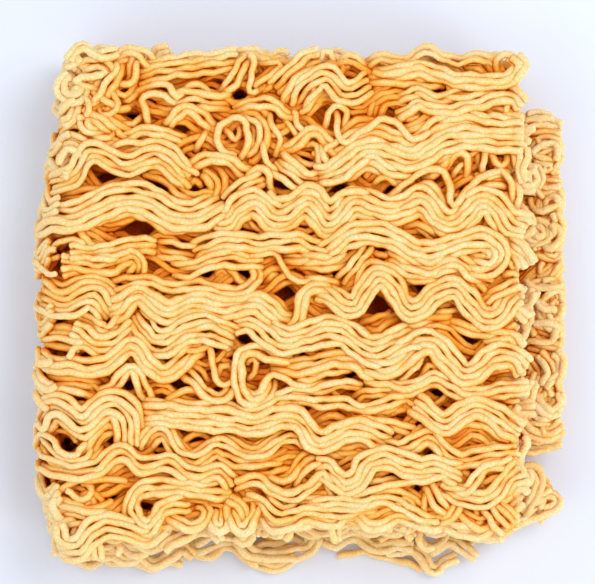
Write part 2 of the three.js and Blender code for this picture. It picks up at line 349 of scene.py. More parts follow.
    (22.4, 2, (-40, 15), (-38.8, 12.8), (-37, 12.4), (-35, 13.4)),
    (23.6, 3, (-43.6, 10.6), (-40, 10.7), (-36, 11.2), (-32, 12), (-27.2, 12)),
    (23.4, 3, (-45.2, 9), (-41, 8.9), (-37.6, 8.4), (-35, 8.6), (-32.8, 9.9), (-30.8, 9.7), (-30.2, 8.2),
     (-30.8, 6.4)),
    (22.4, 1, (-34.2, 6.6), (-32.8, 7.6), (-31.6, 8.4)),
    (22.4, 2, (-45, 7.2), (-42.6, 7.4), (-40.6, 7.2)),
    (23.0, 1, (-49.4, 9.4), (-47.6, 9.7), (-45.6, 10.4)),
    (23.9, 6, (-50.5, 4.4), (-48.4, 3), (-46, 1.4), (-43.8, 1.4), (-41.4, 2.8), (-39.2, 3.2),
     (-37.4, 2.2), (-36.2, 0.4), (-35.2, -1.4)),
    (23.6, 2, (-35.8, 4.6), (-32.4, 4.9), (-29, 5.1), (-26, 4.4), (-23, 4), (-20, 4.3), (-17, 3.8),
     (-13.4, 3.2), (-10.4, 3.4), (-8.4, 4.6), (-7.8, 6.6), (-8.8, 8.2)),
    (24.2, 4, (-36.6, -0.6), (-34, 0.2), (-31.8, 2.3), (-29.8, 2.6), (-27.6, 1), (-25.5, -0.6), (-23, 0),
     (-20, 1.3), (-17, 1), (-13.6, 0), (-10.6, 0.9), (-8, 1.3), (-5.6, -0.4), (-3.2, -2.6), (-1.4, -2.8)),
    (22.6, 2, (-25, 1.8), (-22.4, 3), (-19, 2.8), (-15.6, 2.2), (-12.4, 2)),
    # the waves of the middle
    (24.1, 5, (-16.8, 18.4), (-15.4, 16.4), (-13.6, 16.4), (-11.6, 18.8), (-9, 20.4), (-7, 19.4),
     (-5.4, 17.6), (-3.4, 17), (-1.4, 18.1), (0.6, 19.9), (2, 20), (3.5, 18.2), (5.2, 16.2), (7, 16.7),
     (8.8, 19), (10.6, 20.3), (14, 19.4), (17.5, 18.6), (20, 19.2), (22.3, 20.4), (24.2, 19.8),
     (25.9, 17.6), (28, 16.2), (30.3, 16.6), (32.5, 19), (34.6, 20.6), (36.6, 20.1), (38.4, 17.8),
     (40, 15.6), (43, 14.8)),
    (24.2, 1, (-5.6, 22.4), (-4.8, 20.8), (-3, 20.6), (-0.6, 21.6), (1.8, 23.1), (3.8, 23), (4.9, 21.2),
     (6, 20.3), (8, 21.4), (10.4, 22.3), (13.4, 21.6)),
    (23.2, 2, (-10.8, 16.6), (-9.2, 17.2), (-7.6, 15.8), (-6, 14.2)),
    (24.0, 1, (16.6, 20.8), (19.4, 22.6), (22, 25.3), (24.8, 26.6), (27.4, 25.6), (28.7, 23),
     (28.6, 20.8), (29.8, 19.7), (31.2, 20.8), (33, 23), (35, 24.9), (37.4, 25.9), (40, 25.8)),
    (23.8, 1, (20, 21.4), (22.6, 23.4), (25, 24), (26.7, 22.6), (27.3, 20.2), (28.4, 18.9), (30.6, 18.8)),
    (23.8, 3, (-6.6, 24.8), (-9, 24), (-11.4, 22.6), (-13.4, 20)),
    (23.9, 4, (6, 25.4), (9, 26.6), (11, 28), (13.6, 28.6), (16.4, 27), (19, 26), (22, 25.8)),
    (23.4, 3, (13, 24.4), (15, 26), (17.4, 26), (19.6, 24.6), (21, 23.4)),
    (24.3, 6, (3, 26.4), (5.6, 27), (8.4, 28.8), (11.4, 31), (14.6, 31.5), (18, 30.5), (21.4, 29.6),
     (24.2, 31), (27.4, 33), (31, 33.8), (36, 33.4), (42.8, 33.2)),
    (23.9, 2, (24, 33.6), (26.4, 35.6), (29, 37), (32, 37.1), (36, 36.2), (39, 36.1), (42.8, 36.1)),
    (23.4, 3, (-27, 11.6), (-24.4, 11.2), (-21.6, 10.6), (-19.4, 10.8)),
    (23.7, 3, (-20.2, 10.8), (-17.2, 12.4), (-14, 13), (-10.6, 13), (-7.4, 12.4), (-3.4, 12.8),
     (0.4, 12.8), (3.4, 11.4), (6, 10.8)),
    (23.4, 3, (-24, 7.6), (-20.6, 7.7), (-17.4, 9), (-14, 9.8), (-10.4, 9.3), (-7, 9.3)),
    (24.1, 1, (-10.6, 9.8), (-7.6, 10.5), (-5.5, 11), (-4.2, 9.9), (-2.9, 7.9), (-1.4, 6.2), (0.6, 5.6),
     (4, 5.8), (7, 6.8)),
    (22.8, 1, (-23.6, 5.9), (-20, 5.7), (-17, 5.6), (-15.6, 7)),
    (23.4, 1, (-16, 5), (-15.2, 7.4), (-14.2, 7.6), (-13.6, 5.2)),
    (23.6, 1, (-13.4, 8.2), (-12, 6.4), (-10.6, 5.1), (-9.2, 5.6), (-8.9, 7.2)),
    (22.8, 2, (-7, 4.8), (-5.6, 6.8), (-3.8, 6.9), (-2.6, 5.8)),
    (23.0, 2, (-7, 2.6), (-5, 1.8), (-3.2, 0.2), (-1.8, -1.4)),
    (22.8, 1, (-5.6, 5.4), (-3.6, 5.4), (-1.6, 6)),
    (24.1, 2, (-4.4, -4.4), (-2, -4.4), (-0.1, -3), (0.2, 0), (0.9, 2.6), (2.8, 3.8), (5, 3.4),
     (7.4, 1.6)),
    (23.8, 3, (0, 9), (4, 8.8), (7, 9.4), (9, 10.2)),
    (23.5, 2, (-3, 9.8), (0.4, 9.6), (3.4, 9.6)),
    (22.9, 2, (0.8, 4.8), (4, 5.4), (7.4, 4.4)),
    # the big wave across the right half
    (24.2, 4, (3.6, 3.6), (6.6, 2.4), (9.2, 0.4), (10.9, 0.6), (12.4, 3), (14, 5.6), (15.7, 6.1),
     (17.5, 4.8), (19.2, 1.6), (20.9, -0.2), (23, 0.3), (25.5, 2.4), (28, 3.8), (30, 3.7), (32, 1.8),
     (33.8, -0.8), (35.6, -2.1), (37.6, -1.5), (39.4, 0.8), (41, 2.8)),
    (24.0, 2, (8, 5), (9.6, 7.2), (11.6, 9.8), (13.6, 12)),
    (23.7, 1, (10.9, 3), (11.2, 6), (12.6, 8.2), (15, 8.6), (17.8, 8), (20.2, 6.7), (23, 5.9),
     (25.6, 6.4), (28.4, 7.6), (31, 7), (33.4, 5), (35.4, 3)),
    (24.0, 4, (4.4, 10), (6.8, 11.4), (9.2, 13.6), (12.4, 14.4), (16, 13.9), (19, 12.8), (21.6, 11),
     (24.6, 10.4), (28, 11.3), (31, 12.5), (34.6, 13), (37, 12), (37.9, 10.2), (36.6, 8.4), (34, 8.2),
     (31.4, 9.2)),
    (23.6, 3, (17, 10.8), (19.6, 9.4), (22.2, 8.2), (25, 7.8), (27.8, 9.1), (30, 9.3), (32, 7.8),
     (34.2, 6.2), (36.8, 5.1)),
    (23.2, 2, (19, 6.6), (22, 6), (25, 5.6), (28, 6.4), (30.8, 5.9), (33.2, 4), (35, 2.6)),
    (22.8, 2, (19.6, 15), (22, 16), (24, 15.2), (25.8, 13.7), (28, 13.4)),
    (22.4, 1, (20, 15.8), (21.6, 17), (23.6, 16.2)),
    (22.6, 2, (5, 8.6), (7.4, 9.4), (10, 11), (12, 12)),
    (22.4, 2, (13.6, 10.4), (16, 9.6), (18, 10.2)),
    (22.6, 3, (12.4, -3.6), (15, -4), (17.6, -2.4), (19.4, -2.2)),
    (23.0, 1, (10.4, -2.8), (12.6, -2.6), (14.4, -1), (16.6, 0)),
    # right side
    (23.8, 3, (33.4, 24.2), (36, 24.2), (39.2, 24.2)),
    (24.2, 1, (37.4, 26.6), (39.2, 25.8), (40.2, 23.6), (40.4, 21), (40.8, 18.6)),
    (23.6, 1, (43.2, 25.6), (41.6, 24.2), (41.8, 21.8), (41.4, 19.6), (40.6, 17.4)),
    (23.4, 2, (38.4, 22), (38.8, 19.4), (39.6, 17.2)),
    (23.0, 2, (34, 31.2), (33.2, 28.6), (33, 26.4)),
    (23.8, 1, (35.4, 31), (35, 28.8), (34.4, 26.6), (35, 25.6)),
    (23.6, 1, (27.6, 26), (28.6, 28.2), (30.2, 29.6), (31.6, 28.8), (32, 26.6), (31.4, 24.8)),
    (23.2, 1, (29.4, 24.8), (30, 27), (31.2, 28)),
    (23.4, 1, (36, 30.6), (37, 29), (38, 27.4), (38.8, 27.6), (39.4, 30)),
    (23.8, 2, (42.8, 31), (42.6, 28.6), (42.4, 26), (43, 24.2)),
    (23.2, 2, (36.4, 28), (37.6, 27.2), (39.8, 27.4)),
    (23.4, 1, (40.6, 30.6), (41.2, 28.4), (41.6, 26.6)),
    (24.0, 1, (39.8, 40), (39.4, 38.4), (39.6, 37)),
    (22.8, 2, (36.4, 38.4), (38.6, 38.6), (41, 37.6)),
    (23.8, 1, (40.6, 17.6), (42, 18.2), (43.6, 17.4), (43.9, 16)),
    (24.0, 3, (37.6, 13.8), (40.6, 12.4), (42.6, 10.4), (44, 8.2)),
    (23.6, 2, (38.4, 10), (40.2, 9.2), (41.4, 7.4)),
    (23.9, 2, (35, 1.6), (37.6, 2.8), (39.4, 4.2), (41.8, 5.2)),
    (23.4, 1, (38.6, 6.4), (40.4, 7), (41.2, 5.8)),
    (22.8, 2, (25.4, -0.4), (28, 0.4), (30.2, 0.4)),
    (23.8, 2, (28.6, -2), (30.6, -3.2), (32.8, -4.2), (35.4, -4.4), (38.4, -3.4), (40.4, -2)),
    (23.0, 1, (30.2, -3.8), (30, -6), (29.2, -7.4)),
    (23.4, 2, (39.4, 0.2), (41.8, -0.9), (43.6, -2)),
    (23.0, 2, (20, -2.4), (23, -2.8), (26, -2.4), (29, -1.8)),
    (23.6, 2, (19.4, -3), (21, -3.9), (23.6, -3.6), (26, -3)),
    # left half, in front of the middle
    (23.2, 4, (-51, -5.2), (-47.4, -4.8), (-44, -5.4), (-41, -6.2)),
    (23.9, 5, (-42.6, -2.6), (-40.4, -3.6), (-38, -5.4), (-35.8, -5.6), (-33.8, -4), (-32, -2.4)),
    (24.1, 5, (-31.6, -1.4), (-30, -3.8), (-27.8, -6.2), (-25.6, -6.7), (-23.4, -5.4), (-21, -4.2),
     (-18, -3.6), (-15, -4.4), (-12.2, -6)),
    (24.0, 3, (-47.6, -10.6), (-43.4, -10.8), (-39.6, -11.3), (-36.6, -10.8), (-34.4, -8.9), (-32.4, -7),
     (-30.4, -8), (-28.4, -11), (-26.2, -12.3), (-23.8, -11.6), (-21.4, -9.4), (-18.8, -7.4)),
    (24.2, 1, (-43.6, -9.6), (-42.8, -8), (-41.2, -7), (-39.6, -7.8), (-38.2, -9.4), (-36.4, -9.9)),
    (24.1, 1, (-18.8, -7.2), (-17.2, -7.6), (-16.6, -10), (-16.3, -12.6), (-14.8, -14.4), (-13, -14),
     (-12.2, -12.6)),
    (22.6, 1, (-47.4, -12), (-50, -12.1), (-50.6, -13.3), (-49.4, -14.1), (-46.6, -13.9)),
    (23.4, 4, (-47, -14), (-44.6, -13.6), (-41.6, -14), (-38.2, -14.8)),
    (24.2, 5, (-49.6, -22.4), (-48.6, -20.4), (-47, -18.8), (-45.2, -18.8), (-43.2, -20.4), (-41.4, -22),
     (-39.8, -21.4), (-38.4, -19.4), (-36.2, -18.2), (-34, -18.6), (-32.6, -20.5), (-31.9, -23),
     (-31.6, -26)),
    (24.0, 2, (-37.4, -16.4), (-35.2, -14.8), (-33.6, -12.6), (-32, -11.5), (-30.6, -12.8),
     (-29.6, -15.4), (-28.2, -17.6)),
    (23.4, 2, (-41.2, -28.4), (-39.4, -26.8), (-38.3, -24.3), (-36.7, -22.8), (-34.8, -23.1),
     (-33.6, -25.2)),
    (23.8, 3, (-47.8, -25.6), (-46.4, -27.8), (-44.2, -28.9), (-41.6, -28.9), (-39.8, -27.4),
     (-39, -25.4)),
    (23.6, 3, (-49.4, -29.2), (-45.6, -30.4), (-42, -30.8), (-38.4, -30.4), (-36.2, -28.6), (-34, -26.9),
     (-32.2, -27.7), (-30.4, -29.7), (-28, -29.9), (-25.4, -28.8), (-23.6, -29.4), (-21.4, -31.2),
     (-19, -32), (-15.6, -30.8), (-13.8, -31.6), (-12.4, -33.6)),
    (22.2, 2, (-49.4, -20.4), (-50.9, -22.4), (-50, -24.4), (-47.6, -25.2)),
    (22.2, 2, (-48.4, -26.4), (-50.4, -26.6), (-49.4, -28.2), (-47.6, -27.4)),
    (23.0, 1, (-47.4, -23.8), (-45.4, -22.8), (-43.4, -23.8), (-42, -25.4)),
    (23.4, 1, (-25.6, -17.6), (-23.4, -16.2), (-21, -15), (-19.2, -16), (-17.4, -17.8)),
    (23.8, 2, (-21.6, -12.2), (-19.6, -13.9), (-17.6, -16), (-15.4, -16.9), (-13.4, -16), (-12.2, -14.6)),
    (23.2, 1, (-20.3, -9.8), (-18.4, -11.9), (-17.2, -13.8)),
    (23.0, 1, (-15, -13), (-14.6, -11.5), (-13.2, -10.9), (-12.3, -12)),
    (22.8, 1, (-15.2, -9.4), (-14.2, -8.4), (-12.8, -9)),
    # the tall spiral
    (24.3, 2, (-1.4, -9.7), (-4, -9.3), (-6.6, -8.3), (-9, -7.7), (-11, -8.5), (-11.7, -10.9),
     (-11.6, -14), (-10.7, -16.7), (-8.7, -17.9), (-6.6, -17.2), (-5.4, -15.4), (-5.2, -13.2)),
    (24.1, 1, (-10.2, -15), (-9, -16.4), (-7.6, -15.8), (-6.6, -13.8), (-5.2, -12.5), (-3.2, -13),
     (-1.2, -14.4), (1.6, -14.7), (4.6, -13.6)),
    (23.8, 1, (-10, -13.2), (-8.6, -12), (-7.9, -10.3), (-8.9, -9.5), (-10, -10.5)),
    (23.9, 5, (-12.4, -2.2), (-9.6, -1.8), (-7.4, -3), (-5.4, -4.6), (-3.2, -5.8), (-1, -5.8), (1.6, -5),
     (4.6, -4.1), (7.2, -4), (9.2, -4.8), (11, -6.4), (13, -7.7), (15.4, -7.6), (18, -6.4), (20.4, -5.2),
     (23, -4.6)),
    (22.6, 2, (0.4, -7), (3, -6.6), (6, -6.2), (9, -6.6)),
    (23.6, 3, (-5, -10.4), (-2, -11), (1, -11.1), (4, -10.4), (7.4, -9.4), (10.6, -9.9), (12.8, -11.6),
     (15.2, -12.9)),
    (23.9, 2, (-0.6, -13.4), (2, -13.2), (4.6, -12), (7.6, -11.3), (10, -10.9)),
    (24.2, 4, (11.8, -9.6), (15.2, -10.9), (18.2, -10.4), (20.4, -8.3), (22.8, -6.4), (25, -6.3),
     (27, -8), (29, -10.4), (31.2, -12.2), (33.6, -11.8), (36, -9.8), (38.5, -8.7), (41, -9.3),
     (43, -11.4)),
    (23.8, 1, (18.6, -14.2), (20.6, -13.4), (22.2, -11), (23.6, -9), (25, -8.4), (26.6, -9.8),
     (28.4, -12.4)),
    (23.2, 1, (22.4, -14.2), (23.8, -12), (25, -10.6), (26.6, -12), (28.2, -13.8)),
    (23.6, 2, (35, -5.6), (37.6, -4.9), (40.4, -5.6), (42.4, -7.6)),
    (23.4, 2, (36, -11.8), (38.6, -11), (41, -11), (42.8, -12)),
    (22.6, 2, (36.8, -14), (39.4, -12.9), (42.6, -13)),
    (23.9, 3, (12.4, -13.6), (16, -14.6), (20, -15.2), (23, -14.4), (25.6, -13.5), (28, -14.4), (31, -16),
     (34.4, -16.5), (38, -15.6), (41, -15), (43.6, -14.9)),
    (24.0, 4, (-30, -20), (-25, -20.4), (-20, -20.8), (-15, -21.1), (-10, -21.9), (-7.4, -21.9),
     (-4, -20.7), (-1.2, -20.7), (0.9, -22.1), (2.6, -24.6), (4.5, -25.4), (6.8, -24.3), (9.2, -23.2),
     (12, -22.9), (14.6, -24), (17, -25.2)),
    (23.7, 2, (-29.8, -17.8), (-26, -18.2), (-18, -18.4), (-13, -18.7), (-9.6, -19.6), (-6, -18.5),
     (-3, -17.4), (0, -17.2), (4.6, -17.9), (8, -17.6), (11, -18.6), (14.6, -18.6), (18, -17.2),
     (22, -16.8)),
    (23.5, 2, (-5.6, -18.9), (-4, -16.8), (-1.6, -15.8), (1.2, -15.5), (4.6, -15), (8.4, -14.4),
     (12, -14.6)),
    (23.4, 2, (11, -19.9), (15, -20.2), (18.6, -18.9), (21.6, -18.2)),
    (23.2, 2, (10.6, -17.6), (12.6, -16.2), (16, -16.1), (20, -16.3)),
    (24.2, 4, (21.6, -18), (23.6, -18.9), (25.8, -21.2), (28.5, -21.6), (31, -19.6), (33.4, -18.7),
     (36, -19.4), (38.5, -21.2), (41.8, -23.6)),
    (23.4, 2, (28.6, -23.6), (31, -21.9), (33, -21.3), (35.4, -22), (38, -23.8), (40, -25.2)),
    (22.6, 3, (30, -25), (32, -24), (35, -24.8), (38, -25.6)),
    (23.4, 2, (10, -21.2), (14, -21.9), (17.6, -22), (20.6, -22.8), (22.6, -24.2)),
    (22.6, 2, (3, -22), (5.4, -21), (8, -21.4), (9.4, -22.6)),
    (23.8, 3, (15, -26.4), (19, -26.5), (22, -25.5), (24.6, -24.4), (26.4, -25.4), (28, -27.6),
     (30.2, -28.8), (33.4, -28.4), (37, -27.4), (41.2, -27.2)),
    (24.2, 4, (3, -30.4), (5.2, -30.4), (6.8, -32), (8.8, -33.5), (10.8, -32.6), (12.2, -30),
     (14.4, -28.5), (17, -28.4), (19.6, -29.4), (22.6, -30.2), (25.4, -29.9), (28, -30.6), (30.6, -31.8)),
    (22.8, 3, (5, -27), (8.6, -26.2), (12, -25.9), (14.4, -27)),
    (22.6, 2, (4, -28.4), (8, -28.2), (11, -28.4)),
    # front left
    (24.0, 2, (-30.4, -26.6), (-29, -23.6), (-26.8, -21.9), (-25, -22.2), (-23.8, -24.8), (-22.3, -27),
     (-20.3, -27.6), (-18.3, -26.6), (-16, -25.2), (-14, -25.6), (-11.5, -27), (-8.8, -27.7), (-6, -26.8),
     (-3.5, -25.2), (-1, -24.6), (1, -25.9)),
    (23.5, 2, (-29.2, -27.6), (-27.4, -25), (-25.6, -24.4), (-24.2, -26.2), (-22.4, -28.9),
     (-20.2, -30.2), (-17.8, -28.9), (-15.8, -27.4), (-14, -28.2), (-11.4, -29.6), (-9, -29.4),
     (-6.4, -28.8), (-4, -28.4), (-1.8, -26.8)),
    (23.0, 2, (-7, -31), (-4.4, -31.8), (-2, -31.4), (-0.6, -29.6), (1, -28.2), (4, -27.4)),
    (23.8, 2, (-12.4, -33.6), (-9.8, -32.4), (-7.6, -32.6), (-5.2, -34.4), (-2.2, -35.3), (0.8, -34.8),
     (3, -32.9), (4.4, -31.8), (5.6, -33.2), (7.2, -35)),
    (24.2, 1, (-0.9, -33.6), (0.8, -31.6), (2.6, -29.7), (4.6, -29.2)),
    (24.0, 3, (-12.6, -34.6), (-18, -34.4), (-22, -34), (-26, -33.9), (-29, -34), (-31.2, -35.8),
     (-31.6, -38.5), (-30.2, -41), (-28.3, -41.6), (-27, -39.8), (-26, -37.8), (-23.4, -37),
     (-20.6, -37)),
    (22.4, 3, (-33.6, -31.6), (-30, -31.4), (-26.4, -31.6), (-22.6, -32.4)),
    (24.3, 1, (-48, -37.6), (-47.6, -36.2), (-45.8, -34.8), (-43.8, -33.2), (-41.4, -32.2), (-38, -31.9),
     (-34.8, -32.3), (-32.6, -33)),
    (24.2, 1, (-46.8, -35.6), (-44.6, -36), (-42.4, -37.2), (-40.4, -38.1), (-38.2, -37.8), (-36.6, -37),
     (-35.3, -36.1)),
    (23.4, 1, (-44.2, -34.4), (-42.6, -35.7), (-40.6, -36.3), (-39.3, -35.2), (-39.6, -33.8),
     (-41.4, -33.4)),
    (22.6, 1, (-49.2, -31.4), (-47.6, -30.2), (-45.8, -31), (-45, -32.4), (-46.2, -34.2), (-47.8, -34.8),
     (-48.9, -33.4), (-49.2, -31.2)),
    (22.4, 2, (-39, -35.6), (-37, -34.2), (-34, -33.8)),
    (23.6, 2, (-47, -39.4), (-45.6, -38.1), (-43.4, -38.1), (-41, -39), (-38, -39.3), (-35, -39.5),
     (-32.4, -40.7)),
    (23.2, 1, (-47, -40.9), (-44, -40.8), (-41.2, -40.4), (-39, -39.8)),
    (23.8, 4, (-46.7, -41.2), (-46.2, -44), (-44.4, -45.7), (-42, -45.6), (-40.4, -44), (-39.4, -42.4),
     (-37, -41.3), (-34, -41.5), (-31.8, -42), (-30, -42.6), (-28, -42.4), (-26.4, -40.6)),
    (23.0, 2, (-38.8, -43), (-38.4, -45.4), (-38, -47.5)),
    (23.6, 2, (-25.2, -38.2), (-22.8, -40.4), (-20.4, -41.3), (-18.4, -40.4), (-17.7, -38.4),
     (-19, -37.2)),
    (23.4, 2, (-16.4, -38), (-16, -40.8), (-14.6, -41.4), (-13.8, -39.4), (-14.4, -37)),
    (23.6, 2, (-13.2, -37.4), (-12.2, -40.6), (-10.8, -42), (-9.4, -40.8), (-8.4, -38.4), (-8.2, -36.6)),
    (23.8, 2, (-13.6, -35.8), (-11.4, -37), (-10.4, -38.8), (-10, -41)),
    (23.8, 3, (-9.8, -35), (-7.4, -35.6), (-5.8, -37.4), (-3.6, -38.9), (-1.2, -38.6), (1, -37.4),
     (4, -37.7), (7, -38.1), (10, -37.8), (13, -37.4), (15.6, -36.6)),
    (23.4, 2, (-7.6, -38.2), (-6, -40.6), (-3.8, -41.6), (-1, -41.2), (1.2, -39.8), (4, -40.2),
     (6.8, -40.8), (8.8, -39.2), (11.4, -39.6), (13.2, -41.2), (16, -41), (18.6, -39.8), (21.2, -40.3),
     (24, -41.2), (27.6, -40.7)),
    (23.6, 3, (-1, -36.6), (3, -36.2), (7.4, -35.9), (11.6, -36.2), (16, -35.7), (19, -36.4),
     (21.6, -37.8), (24.4, -39), (27, -39.4)),
    (24.3, 1, (7.6, -36.2), (12, -35), (16, -33.9), (20, -32.8), (25, -32.3), (30.2, -32.4)),
    (23.0, 3, (13, -33.2), (16.4, -32.2), (19.4, -32)),
    (23.2, 2, (14.8, -38.6), (16.8, -37.8), (18.6, -38.4), (20.6, -39.2)),
    # front right
    (24.1, 2, (24.2, -33.4), (26, -36), (28.2, -38.8)),
    (23.2, 2, (19.6, -34.2), (22, -35.8), (24.6, -37.8)),
    (24.0, 3, (26.6, -33.8), (29.4, -35.2), (32.4, -36.2), (35.6, -35.9), (37.8, -34.2), (39.8, -31.8),
     (41.8, -30)),
    (23.6, 2, (27.6, -38.6), (29.4, -40.3), (32, -40.6), (34.4, -39.2)),
    (23.2, 2, (27.8, -41), (30.4, -42.2), (33.4, -42.8), (35.8, -41.2), (36.6, -39)),
    (23.9, 2, (35.4, -37.8), (37.2, -40.2), (39.2, -42)),
    (23.4, 1, (36.4, -40.4), (37.2, -42.6), (38.4, -44.2)),
    (23.8, 2, (28.8, -33.6), (31, -34.6), (32.6, -33.6), (33.8, -31.6), (35.4, -30.2), (37.8, -29.5),
     (40.3, -29.2)),
    (23.9, 1, (29, -29.6), (30.6, -30.8), (32.4, -31.6)),
    (22.6, 3, (29.6, -37.2), (32.6, -38), (35, -37.6)),
    (22.8, 2, (35.8, -31), (35.4, -33.4), (34, -35)),
    (22.8, 2, (36.4, -32.6), (38.4, -31.2)),
    (23.8, 1, (38.4, -36.2), (40.2, -34.6), (41.6, -33.2), (43.6, -32.2)),
    (23.4, 1, (38.6, -37.6), (40.6, -36.4), (41.6, -35)),
    (23.6, 1, (40.2, -35.6), (41.8, -34.4), (43.4, -35.2)),
    (23.6, 1, (39.6, -39.4), (41.2, -38), (42.4, -36.8)),
    (23.2, 3, (36, -36.4), (38.6, -38.2), (40.6, -40.4)),
)

